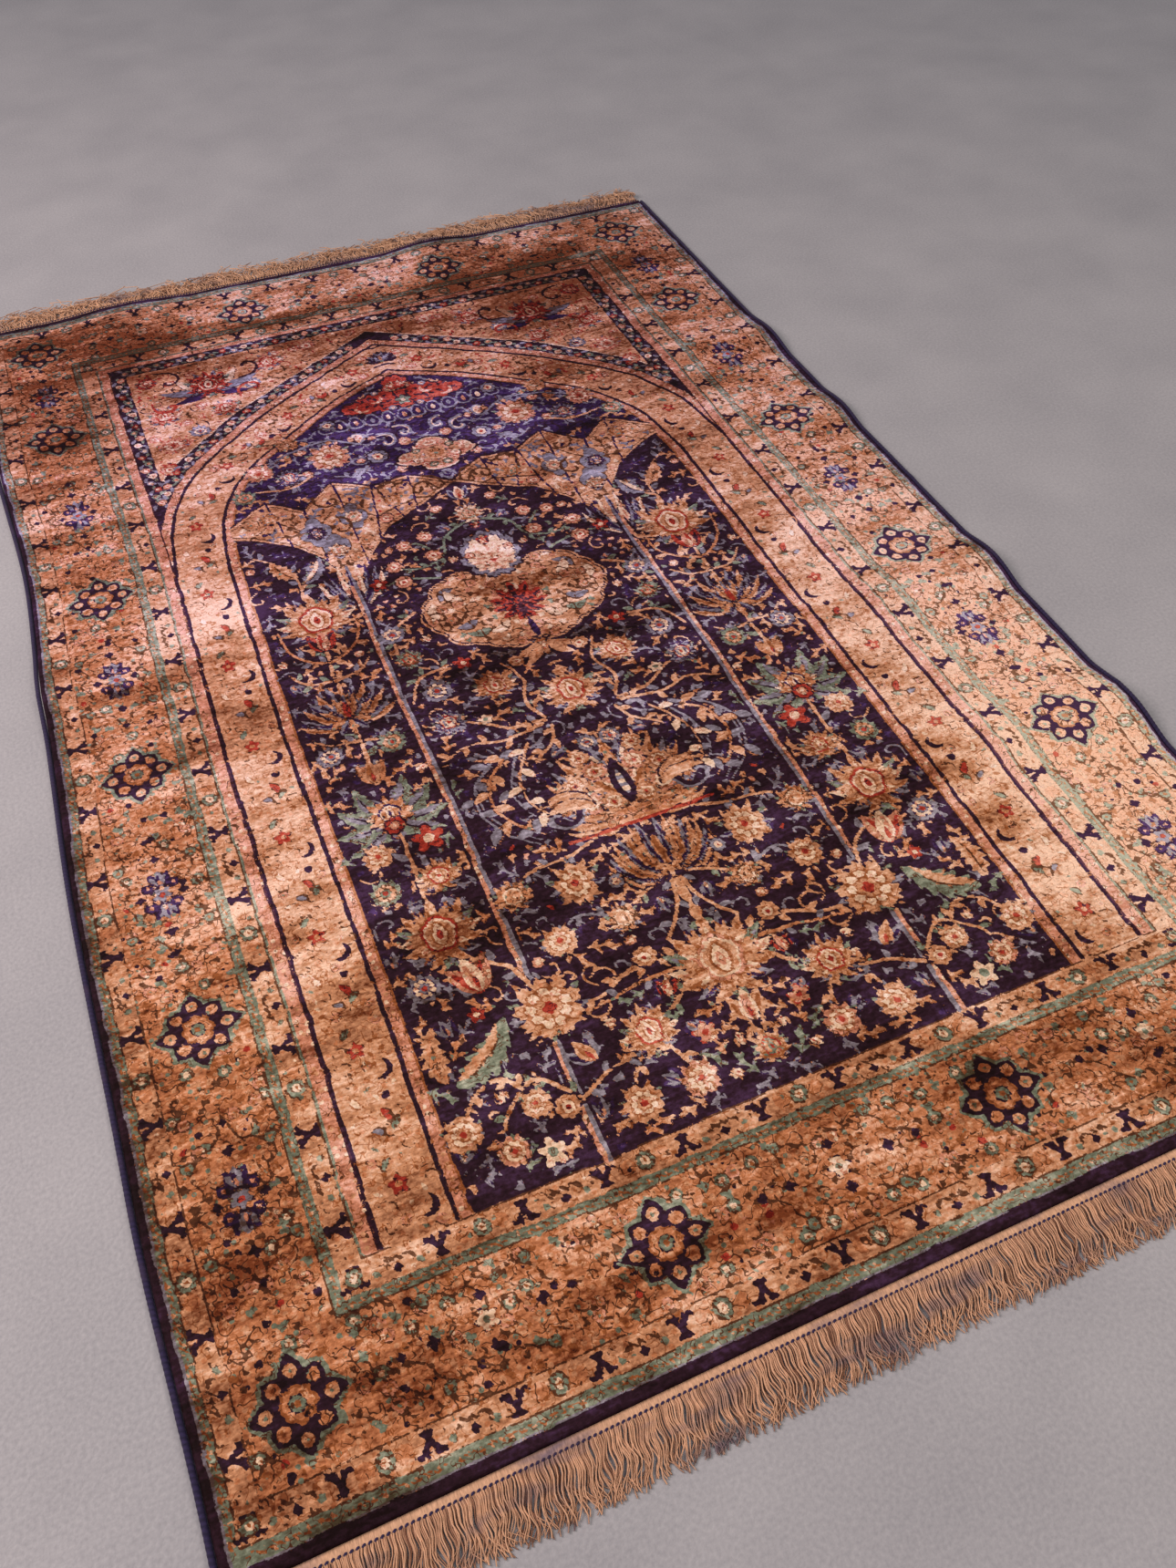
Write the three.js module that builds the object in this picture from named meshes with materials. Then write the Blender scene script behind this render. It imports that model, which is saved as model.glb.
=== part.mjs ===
// Persian prayer rug with an arched field, lying on the floor, with its soft ripples.
// Millimetres, +Z up. The origin is on the floor, under the middle of the rug.
// +Y points to the far end, where the arch comes to its point; +X is to the right.
import * as THREE from 'three';

// Whole rug
const RUG_WIDTH = 1200;
const PILE_LENGTH = 1900;
const PILE_THICKNESS = 6;
const PARTING = 0.3;

// Overcast cord along each long side
const SELVEDGE_DIAMETER = 6;
const SELVEDGE_SIDES = 8;

// Flat-woven strip and its fringe at each end
const WEB_DEPTH = 9;
const WEB_THICKNESS = 2.4;
const FRINGE_LENGTH = 51;
const STRANDS_PER_END = 108;
const STRAND_ROOT_WIDTH = 5.2;
const STRAND_TIP_WIDTH = 3;
const STRAND_KNEE = 0.5;
const STRAND_SHORTEST = 0.8;

// How finely the sheet follows its ripples
const STEPS_ACROSS = 20;
const STEPS_ALONG = 60;
const STRANDS_PER_WEB_STEP = 4;

// Soft ripples in the lying rug. x and y place the middle of a crest, turn is the crest's
// direction in degrees from +X, reach and spread are its half-length and half-width.
const RIPPLES = [
  { name: 'right edge, near end', x: 640, y: -480, turn: -6, reach: 430, spread: 80, height: 13 },
  { name: 'right edge, below the middle', x: 640, y: -185, turn: 5, reach: 400, spread: 70, height: 11 },
  { name: 'right edge, above the middle', x: 640, y: 205, turn: 3, reach: 260, spread: 65, height: 8 },
  { name: 'right edge, far end', x: 640, y: 430, turn: -4, reach: 330, spread: 75, height: 9 },
  { name: 'upper fold line', x: 0, y: 305, turn: 1, reach: 680, spread: 62, height: 3.5 },
  { name: 'lower fold line', x: -80, y: -190, turn: -1, reach: 600, spread: 66, height: 4 },
  { name: 'far edge, right of the middle', x: 185, y: 980, turn: 84, reach: 260, spread: 95, height: 8 },
  { name: 'far edge, left of the middle', x: -360, y: 990, turn: 98, reach: 240, spread: 120, height: 7 },
  { name: 'left edge, far end', x: -640, y: 590, turn: 4, reach: 270, spread: 130, height: 9 },
  { name: 'left edge, middle', x: -640, y: 60, turn: -3, reach: 230, spread: 90, height: 6 },
];

// Sideways sway of the two long edges, outwards, at places along the rug.
const EDGE_SWAY = [
  { y: -950, left: -10, right: 0 },
  { y: -610, left: 3, right: 3 },
  { y: -280, left: 7, right: 7 },
  { y: 40, left: 0, right: 5 },
  { y: 285, left: -9, right: 2 },
  { y: 550, left: 1, right: 0 },
  { y: 950, left: 0, right: 0 },
];

// The left side lies this much longer than the middle, and the right side as much shorter.
const SIDE_TAPER = 0.0095;

const COLOURS = { pile: 0x9c6b45, selvedge: 0x2a2140, fringe: 0xb98f72 };

const half = (size) => size / 2;
const selvedgeRadius = half(SELVEDGE_DIAMETER);
const pileWidth = RUG_WIDTH - 2 * (SELVEDGE_DIAMETER + PARTING);
const fringeReach = PARTING + WEB_DEPTH + FRINGE_LENGTH;

// Smooth bump: 1 in the middle, 0 with a level start at a distance of 1 or more.
function swell(t) {
  const inside = Math.max(0, 1 - t * t);
  return inside * inside;
}

// Height of the rug's underside over the floor. Past the pile the fringe comes down to the floor.
function lift(x, y) {
  let height = 0;
  for (const ripple of RIPPLES) {
    const turn = THREE.MathUtils.degToRad(ripple.turn);
    const dx = x - ripple.x;
    const dy = y - ripple.y;
    const along = (dx * Math.cos(turn) + dy * Math.sin(turn)) / ripple.reach;
    const across = (dy * Math.cos(turn) - dx * Math.sin(turn)) / ripple.spread;
    height += ripple.height * swell(along) * swell(across);
  }
  const past = (Math.abs(y) - half(PILE_LENGTH)) / fringeReach;
  return height * (1 - THREE.MathUtils.smoothstep(past, 0, 1));
}

// Outward sway of one long edge at y, eased between the rows of the table.
function sway(y, side) {
  const last = EDGE_SWAY.length - 1;
  const clamped = THREE.MathUtils.clamp(y, EDGE_SWAY[0].y, EDGE_SWAY[last].y);
  const next = Math.max(1, EDGE_SWAY.findIndex((row) => row.y >= clamped));
  const from = EDGE_SWAY[next - 1];
  const to = EDGE_SWAY[next];
  const share = THREE.MathUtils.smoothstep(clamped, from.y, to.y);
  return THREE.MathUtils.lerp(from[side], to[side], share);
}

// Moves a flat geometry's points to where the lying rug has them.
function lay(geometry) {
  const points = geometry.attributes.position;
  for (let i = 0; i < points.count; i += 1) {
    const x = points.getX(i);
    const y = points.getY(i);
    const outward = x / half(RUG_WIDTH);
    const side = x < 0 ? 'left' : 'right';
    points.setX(i, x + Math.sign(x) * outward * outward * sway(y, side));
    points.setY(i, y * (1 - SIDE_TAPER * outward));
    points.setZ(i, points.getZ(i) + lift(x, y));
  }
  geometry.computeVertexNormals();
  return geometry;
}

function subPart(name, geometry, colour) {
  const finish = new THREE.MeshStandardMaterial({ color: colour, roughness: 0.9, metalness: 0 });
  const mesh = new THREE.Mesh(lay(geometry), finish);
  mesh.name = name;
  return mesh;
}

// The knotted sheet, with its underside on the floor.
function pileSheet() {
  const sheet = new THREE.BoxGeometry(pileWidth, PILE_LENGTH, PILE_THICKNESS, STEPS_ACROSS, STEPS_ALONG, 1);
  return sheet.translate(0, 0, half(PILE_THICKNESS));
}

// One overcast side cord; side is -1 for the left one and 1 for the right one.
function selvedgeCord(side) {
  const radius = selvedgeRadius / Math.cos(Math.PI / SELVEDGE_SIDES);
  const cord = new THREE.CylinderGeometry(radius, radius, PILE_LENGTH, SELVEDGE_SIDES, STEPS_ALONG);
  cord.rotateY(Math.PI / SELVEDGE_SIDES);
  return cord.translate(side * (half(RUG_WIDTH) - selvedgeRadius), 0, selvedgeRadius);
}

// A steady unevenness between -1 and 1 for strand number index.
function uneven(index, salt) {
  const wave = Math.sin(index * 12.9898 + salt * 78.233) * 43758.5453;
  return 2 * (wave - Math.floor(wave)) - 1;
}

// Side view of one strand: how far it reaches, and how far it sways at its knee and tip.
function strandShape(index, end) {
  const slow = Math.sin(index * 0.21 + end.phase) * end.wander;
  const isCorner = index === 0;
  const spare = (1 - STRAND_SHORTEST) * half(1 + uneven(index, end.salt));
  return {
    reach: FRINGE_LENGTH * (isCorner ? 1 : 1 - spare),
    knee: end.sweep * STRAND_KNEE + half(slow) + uneven(index, end.salt + 1),
    tip: isCorner ? 0 : end.sweep + slow + 1.5 * uneven(index, end.salt + 2),
  };
}

// Flat-woven strip with its row of strands, lying level; end.side is 1 at the far end.
function fringedEnd(end) {
  const left = -half(pileWidth);
  const pitch = pileWidth / STRANDS_PER_END;
  const inner = half(PILE_LENGTH) + PARTING;
  const outer = inner + WEB_DEPTH;
  const comb = new THREE.Shape();
  comb.moveTo(left, end.side * inner);
  comb.lineTo(left, end.side * outer);
  for (let i = 0; i < STRANDS_PER_END; i += 1) {
    const middle = left + pitch * (i + 0.5);
    const { reach, knee, tip } = strandShape(i, end);
    const rootHalf = half(STRAND_ROOT_WIDTH);
    const tipHalf = half(STRAND_TIP_WIDTH);
    comb.lineTo(middle - rootHalf, end.side * outer);
    comb.lineTo(middle + knee - rootHalf, end.side * (outer + reach * STRAND_KNEE));
    comb.lineTo(middle + tip - tipHalf, end.side * (outer + reach));
    comb.lineTo(middle + tip + tipHalf, end.side * (outer + reach));
    comb.lineTo(middle + knee + rootHalf, end.side * (outer + reach * STRAND_KNEE));
    comb.lineTo(middle + rootHalf, end.side * outer);
  }
  comb.lineTo(-left, end.side * outer);
  for (let i = STRANDS_PER_END; i > 0; i -= STRANDS_PER_WEB_STEP) {
    comb.lineTo(left + pitch * i, end.side * inner);
  }
  return new THREE.ExtrudeGeometry(comb, { depth: WEB_THICKNESS, bevelEnabled: false });
}

const NEAR_END = { side: -1, sweep: -7, wander: 2, phase: 0.4, salt: 1 };
const FAR_END = { side: 1, sweep: 2, wander: 3, phase: 2.1, salt: 11 };

const rug = new THREE.Group();
rug.add(
  subPart('pile', pileSheet(), COLOURS.pile),
  subPart('selvedge_left', selvedgeCord(-1), COLOURS.selvedge),
  subPart('selvedge_right', selvedgeCord(1), COLOURS.selvedge),
  subPart('fringe_near', fringedEnd(NEAR_END), COLOURS.fringe),
  subPart('fringe_far', fringedEnd(FAR_END), COLOURS.fringe),
);

export default rug;
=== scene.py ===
"""Looks of a knotted prayer rug with an arched field, lying on the floor with its soft ripples.

The pattern is worked out as a weaver's chart: small functions draw flowers, leaves, stems and
bands in yarn colours on the chart, and every point of the pile then takes its yarn from it.
Metres, +Z up, +Y to the far end where the arch comes to its point. The chart is in millimetres.
"""
import logging
import math
from dataclasses import dataclass
from enum import Enum, IntEnum
from typing import NamedTuple, Sequence

import bpy
import numpy as np
from mathutils import Matrix, Vector

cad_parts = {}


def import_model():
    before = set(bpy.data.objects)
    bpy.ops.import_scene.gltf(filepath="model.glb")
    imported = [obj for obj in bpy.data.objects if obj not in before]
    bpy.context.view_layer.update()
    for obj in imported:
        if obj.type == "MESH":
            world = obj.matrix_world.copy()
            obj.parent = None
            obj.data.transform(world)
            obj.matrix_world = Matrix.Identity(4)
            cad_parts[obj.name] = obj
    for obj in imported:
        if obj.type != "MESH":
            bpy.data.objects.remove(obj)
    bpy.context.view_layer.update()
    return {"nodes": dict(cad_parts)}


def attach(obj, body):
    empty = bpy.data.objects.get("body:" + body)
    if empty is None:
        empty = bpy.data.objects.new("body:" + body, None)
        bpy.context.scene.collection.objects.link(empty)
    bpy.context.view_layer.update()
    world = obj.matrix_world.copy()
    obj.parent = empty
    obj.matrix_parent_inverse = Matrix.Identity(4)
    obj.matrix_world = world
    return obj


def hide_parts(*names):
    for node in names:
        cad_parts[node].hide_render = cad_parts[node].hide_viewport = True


LOG = logging.getLogger("rug")
MM = 0.001
UP = -90.0  # heading on the chart, towards the far end
Points = Sequence[tuple[float, ...]]
Colour = tuple[float, float, float, float]
YARN_GROUPS = 4  # the twelve scores are stored at the pile's points as four vectors


class Yarn(IntEnum):
    """Dyed yarns of the pile, in the order of their score channels."""

    NAVY = 0
    GOLD = 1
    BROWN = 2
    PEACH = 3
    SAGE = 4
    INDIGO = 5
    RED = 6
    CREAM = 7
    SALMON = 8
    RUST = 9
    SLATE = 10
    WINE = 11


NAVY, GOLD, BROWN, PEACH, SAGE, INDIGO, RED, CREAM, SALMON, RUST, SLATE, WINE = Yarn


class Tone(NamedTuple):
    """How a yarn looks: its own tone, and the light tone painted where the pile is given painted sheen."""

    deep: str
    light: str


# Each yarn's own tone, and its light tone of painted sheen.
DYES: dict[Yarn, Tone] = {
    NAVY: Tone("#2c1723", "#482f4d"),
    GOLD: Tone("#c68e69", "#fbd6bd"),
    BROWN: Tone("#55321f", "#876049"),
    PEACH: Tone("#c07d55", "#facaae"),
    SAGE: Tone("#717a68", "#bcc1ae"),
    INDIGO: Tone("#2f1a3c", "#5c4276"),
    RED: Tone("#a33527", "#d8705c"),
    CREAM: Tone("#e0c0a2", "#fdebde"),
    SALMON: Tone("#c68468", "#f6c4b4"),
    RUST: Tone("#94562f", "#cf9470"),
    SLATE: Tone("#77707a", "#bab4c4"),
    WINE: Tone("#33161f", "#6b4456"),
}


class Figure(Enum):
    """Flowers that the chart repeats, and the small figures that fill the ground between them."""

    ROSETTE = "rosette"
    PEONY = "peony"
    STAR = "star"
    BUD = "bud"
    CROSS = "cross"
    PALMETTE = "palmette"
    TULIP = "tulip"
    LEAF = "leaf"
    PAIR = "pair"
    CURL = "curl"
    SPRAY = "spray"
    DOT = "dot"


ROSETTE, PEONY, STAR, BUD, CROSS, PALMETTE, TULIP, LEAF, PAIR, CURL, SPRAY, DOT = Figure


class Part(IntEnum):
    """Parts of a flower, in the order of a colour scheme."""

    RIM = 0
    PETAL = 1
    SHADE = 2
    INNER = 3
    HEART = 4


class Layer(NamedTuple):
    """One ring of a flower: its part, share of the size, petals, their depth, point, teeth and parting."""

    part: Part
    scale: float
    petals: int
    depth: float
    point: float
    teeth: float = 0.0
    parting: float = 0.0


LAYERS: dict[Figure, tuple[Layer, ...]] = {
    ROSETTE: (
        Layer(Part.RIM, 1.0, 8, 0.20, 0.6),
        Layer(Part.PETAL, 0.84, 8, 0.24, 0.6, 0.0, 0.2),
        Layer(Part.SHADE, 0.50, 8, 0.10, 0.8),
        Layer(Part.INNER, 0.42, 8, 0.16, 0.8),
        Layer(Part.HEART, 0.20, 6, 0.10, 1.0),
    ),
    PEONY: (
        Layer(Part.RIM, 0.92, 9, 0.26, 0.9, 0.16),
        Layer(Part.PETAL, 0.87, 9, 0.26, 0.9, 0.16, 0.24),
        Layer(Part.SHADE, 0.62, 9, 0.24, 0.8, 0.10),
        Layer(Part.INNER, 0.56, 9, 0.26, 0.8, 0.10, 0.24),
        Layer(Part.SHADE, 0.34, 7, 0.22, 0.8),
        Layer(Part.PETAL, 0.29, 7, 0.22, 0.8, 0.0, 0.24),
        Layer(Part.HEART, 0.17, 4, 0.30, 1.0),
    ),
    STAR: (
        Layer(Part.RIM, 1.0, 5, 0.52, 1.5),
        Layer(Part.PETAL, 0.84, 5, 0.52, 1.5),
        Layer(Part.HEART, 0.28, 1, 0.0, 1.0),
    ),
    BUD: (
        Layer(Part.RIM, 1.0, 3, 0.18, 1.0),
        Layer(Part.PETAL, 0.78, 3, 0.18, 1.0),
        Layer(Part.HEART, 0.36, 2, 0.2, 1.0),
    ),
    CROSS: (
        Layer(Part.RIM, 1.0, 4, 0.55, 1.0),
        Layer(Part.HEART, 0.4, 4, 0.2, 1.0),
    ),
}
DISC = Layer(Part.RIM, 1.0, 1, 0.0, 1.0)
LININGS: dict[Yarn, Yarn] = {
    NAVY: INDIGO,
    GOLD: RUST,
    BROWN: RUST,
    PEACH: GOLD,
    SAGE: SLATE,
    INDIGO: SLATE,
    RED: WINE,
    CREAM: SALMON,
    SALMON: RED,
    RUST: GOLD,
    SLATE: INDIGO,
    WINE: RED,
}


class Dye(NamedTuple):
    """Colour scheme of a flower."""

    rim: Yarn
    petal: Yarn
    shade: Yarn
    inner: Yarn
    heart: Yarn


GILT = Dye(NAVY, GOLD, RUST, CREAM, RED)
DAWN = Dye(NAVY, SALMON, RUST, CREAM, RED)
SNOW = Dye(NAVY, CREAM, RUST, SALMON, SAGE)
EMBER = Dye(WINE, RED, WINE, SALMON, CREAM)
MOSS = Dye(NAVY, SAGE, BROWN, GOLD, RED)
DUSK = Dye(NAVY, SLATE, INDIGO, CREAM, RED)
IRIS = Dye(NAVY, INDIGO, NAVY, SLATE, SALMON)
COPPER = Dye(NAVY, PEACH, BROWN, GOLD, CREAM)
INK = Dye(NAVY, NAVY, NAVY, PEACH, NAVY)
CLAY = Dye(BROWN, SALMON, RUST, PEACH, SAGE)
GUARD = Dye(BROWN, SAGE, BROWN, CREAM, RUST)
ROSE = Dye(WINE, SALMON, RED, CREAM, RED)
LACE = Dye(BROWN, GOLD, RUST, PEACH, SAGE)
FLAME = Dye(RED, SALMON, RED, CREAM, RED)
HONEY = Dye(NAVY, GOLD, BROWN, PEACH, RED)


class Spot(NamedTuple):
    """A place on the chart and, in degrees, the way its first axis points: 0 outwards, 90 nearer."""

    u: float
    v: float
    turn: float = 0.0

    def go(self, along: float, aside: float = 0.0, turn: float = 0.0) -> "Spot":
        """A place beside this one.

        Args:
            along: Millimetres along the first axis.
            aside: Millimetres along the second axis.
            turn: Degrees added to the heading.

        Returns:
            The new place.
        """
        c, s = math.cos(math.radians(self.turn)), math.sin(math.radians(self.turn))
        return Spot(self.u + along * c - aside * s, self.v + along * s + aside * c, self.turn + turn)

    def facing(self, turn: float) -> "Spot":
        """The same place with its heading turned by some degrees."""
        return self._replace(turn=self.turn + turn)


def turned(du: np.ndarray, dv: np.ndarray, turn: float) -> tuple[np.ndarray, np.ndarray]:
    """Steps along and aside of a heading.

    Args:
        du: Steps along the first axis.
        dv: Steps along the second axis.
        turn: The heading, in degrees from the first axis.

    Returns:
        The steps along the heading and aside of it.
    """
    c, s = math.cos(math.radians(turn)), math.sin(math.radians(turn))
    return du * c + dv * s, dv * c - du * s


def flow(points: Points, steps: int = 8) -> np.ndarray:
    """A smooth line through points.

    Args:
        points: Places that the line passes, or spots.
        steps: Samples for each stretch.

    Returns:
        The samples, one row each.
    """
    p = np.array(points, float)[:, :2]
    ends = np.concatenate([2 * p[:1] - p[1:2], p, 2 * p[-1:] - p[-2:-1]])
    t = np.linspace(0.0, 1.0, steps, endpoint=False)[:, None]
    runs = []
    for a, b, c, d in zip(ends, ends[1:], ends[2:], ends[3:]):
        cubic = (3 * b - a - 3 * c + d) * t**3 + (2 * a - 5 * b + 4 * c - d) * t**2
        runs.append(b + 0.5 * ((c - a) * t + cubic))
    return np.concatenate([*runs, p[-1:]])


def soft_noise(shape: tuple[int, int], cells: tuple[int, int], rng: np.random.Generator) -> np.ndarray:
    """Smooth noise between -1 and 1 over a grid.

    Args:
        shape: Rows and columns of the grid.
        cells: How many swells fit down and across it.
        rng: Source of chance.

    Returns:
        The noise.
    """
    knots = rng.uniform(-1.0, 1.0, (cells[0] + 2, cells[1] + 2))
    for axis in (0, 1):
        run = np.linspace(0.0, cells[axis], shape[axis])
        low = run.astype(int)
        share = run - low
        share = share * share * (3.0 - 2.0 * share)
        share = share[:, None] if axis == 0 else share[None, :]
        knots = np.take(knots, low, axis) * (1.0 - share) + np.take(knots, low + 1, axis) * share
    return knots


@dataclass
class Chart:
    """Weaver's chart of the right half of the rug, in millimetres; the left half mirrors it.

    u runs out from the middle line, v from the far end of the pile. Bare numbers in the methods are
    shares of a figure's size.
    """

    width: float
    length: float
    cell: float
    wobble: float = 1.3
    wobble_swells: tuple[int, int] = (120, 75)
    drift: float = 2.2
    drift_swells: tuple[int, int] = (9, 6)
    seed: int = 2

    def __post_init__(self) -> None:
        """Lays out the cells, all in the yarn of the outermost band."""
        self.us = (np.arange(round(self.width / self.cell)) + 0.5) * self.cell
        self.vs = (np.arange(round(self.length / self.cell)) + 0.5) * self.cell
        self.ink = np.full((len(self.vs), len(self.us)), NAVY, np.uint8)

    def around(self, u: float, v: float, reach: float) -> tuple[np.ndarray, np.ndarray, np.ndarray]:
        """Cells near a place.

        Args:
            u: Place across.
            v: Place along.
            reach: Half the side of the square of cells.

        Returns:
            A view of the cells, and how far each lies from the place across and along.
        """
        columns = slice(max(0, int((u - reach) / self.cell)), max(0, int((u + reach) / self.cell) + 2))
        rows = slice(max(0, int((v - reach) / self.cell)), max(0, int((v + reach) / self.cell) + 2))
        return self.ink[rows, columns], self.us[None, columns] - u, self.vs[rows, None] - v

    def band(self, u0: float, u1: float, v0: float, v1: float, yarn: Yarn) -> None:
        """Fills a plain oblong.

        Args:
            u0: Inner edge.
            u1: Outer edge.
            v0: Far edge.
            v1: Near edge.
            yarn: Colour.
        """
        c = np.clip(np.round(np.array([u0, u1]) / self.cell).astype(int), 0, len(self.us))
        r = np.clip(np.round(np.array([v0, v1]) / self.cell).astype(int), 0, len(self.vs))
        self.ink[r[0] : r[1], c[0] : c[1]] = yarn

    def lobed(
        self, spot: Spot, radius: float, yarn: Yarn, layer: Layer, squash: float = 1.0, line: Yarn = RUST
    ) -> None:
        """Fills a round shape with petals.

        Args:
            spot: Middle and heading.
            radius: Reach of the petals.
            yarn: Colour.
            layer: Number, depth, point, teeth and parting of the petals.
            squash: Width across the heading as a share of the length.
            line: Colour of the parting between petals.
        """
        cells, du, dv = self.around(spot.u, spot.v, radius * max(1.0, squash))
        along, aside = turned(du, dv, spot.turn)
        aside = aside / squash
        angle = np.arctan2(aside, along)
        edge = 1.0 - layer.depth * (1.0 - np.abs(np.cos(angle * layer.petals / 2)) ** layer.point)
        if layer.teeth:
            edge = edge - layer.teeth * np.mod(angle * layer.petals * 1.5 / math.pi, 1.0)
        inside = np.hypot(along, aside) < radius * edge
        cells[inside] = yarn
        if layer.parting:
            cells[inside & (np.abs(np.cos(angle * layer.petals / 2)) < layer.parting)] = line

    def leaf(
        self,
        spot: Spot,
        length: float,
        width: float,
        yarn: Yarn,
        bend: float = 0.0,
        teeth: int = 0,
        lining: Yarn | None = None,
    ) -> None:
        """Fills a leaf that starts at a spot and points along its heading.

        Args:
            spot: Foot and heading.
            length: Length of the leaf.
            width: Greatest width.
            yarn: Colour.
            bend: Sideways bow as a share of the length.
            teeth: Number of teeth along each edge.
            lining: Colour of a stripe along one side of the rib, if any.
        """
        cells, du, dv = self.around(spot.u, spot.v, length * (1.05 + abs(bend)))
        along, aside = turned(du, dv, spot.turn)
        along = along / length
        inside = (along > 0) & (along < 1)
        run = np.clip(along, 0, 1)
        half = 0.5 * width * np.sin(math.pi * run**0.8)
        if teeth:
            half = half * (1 - 0.5 * np.mod(run * teeth, 1.0))
        off = aside - bend * length * 4 * run * (1 - run)
        cells[inside & (np.abs(off) < half)] = yarn
        if lining is not None:
            cells[inside & (off > -0.1 * half) & (off < 0.62 * half) & (run < 0.8)] = lining

    def stroke(self, points: Points, width: float, yarn: Yarn, tip: float = 1.0) -> None:
        """Draws a smooth line.

        Args:
            points: Places that the line passes.
            width: Width at its start.
            yarn: Colour.
            tip: Width at its end as a share of the start's.
        """
        line = flow(points)
        radii = 0.5 * width * np.linspace(1.0, tip, len(line))
        for a, b, r in zip(line, line[1:], radii):
            span = b - a
            middle, reach = (a + b) / 2, 0.5 * float(np.hypot(*span)) + r
            cells, du, dv = self.around(middle[0], middle[1], reach)
            square = max(float(span @ span), 1e-9)
            t = np.clip((du * span[0] + dv * span[1]) / square, -0.5, 0.5)
            cells[np.hypot(du - t * span[0], dv - t * span[1]) < r] = yarn

    def plain(self, u: float, v: float, reach: float, ground: Yarn) -> bool:
        """Tells whether all the cells round a place still show the ground.

        Args:
            u: Place across.
            v: Place along.
            reach: How far round it to look.
            ground: Yarn of the ground.

        Returns:
            Whether the ground is still bare there.
        """
        cells, du, dv = self.around(u, v, reach)
        inside = cells.size and du[0, -1] > 0.8 * reach and dv[-1, 0] > 0.8 * reach
        return bool(inside and np.all(cells == ground))

    def woven(self) -> np.ndarray:
        """Both halves of the chart, with the small unevenness of hand-tied rows.

        Returns:
            Yarn numbers by row and column, far end first, left side first.
        """
        full = np.concatenate([self.ink[:, ::-1], self.ink], 1)
        rng = np.random.default_rng(self.seed)
        rows, columns = full.shape
        shifts = []
        for _ in range(2):
            wide = self.drift * soft_noise(full.shape, self.drift_swells, rng)
            fine = self.wobble * soft_noise(full.shape, self.wobble_swells, rng)
            shifts.append(np.round((wide + fine) / self.cell).astype(int))
        row = np.clip(np.arange(rows)[:, None] + shifts[0], 0, rows - 1)
        column = np.clip(np.arange(columns)[None, :] + shifts[1], 0, columns - 1)
        return full[row, column]

    def scores(self, step: int) -> np.ndarray:
        """How much of each yarn lies round each knot.

        Args:
            step: Cells to a knot, an odd number.

        Returns:
            Shares by row, column and yarn, far end first, left side first.
        """
        ink = self.woven()
        rows, columns = ink.shape[0] // step, ink.shape[1] // step
        blocks = ink.reshape(rows, step, columns, step)
        return np.stack([(blocks == yarn).mean((1, 3), dtype=np.float32) for yarn in Yarn], -1)


class Seed(NamedTuple):
    """How often a small figure is sown, its kind and size, and its yarn or a flower's colours."""

    weight: float
    kind: Figure
    size: float
    colour: Yarn | Dye


class Flower(NamedTuple):
    """One flower: its place, width, kind, colours and squash."""

    u: float
    v: float
    size: float
    kind: Figure
    dye: Dye
    squash: float = 1.0


class Plot(NamedTuple):
    """A stretch of plain ground to sow: its box, yarn, free room, number of tries and chance."""

    box: tuple[float, float, float, float]
    ground: Yarn
    room: float
    tries: int
    chance: int


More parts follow.
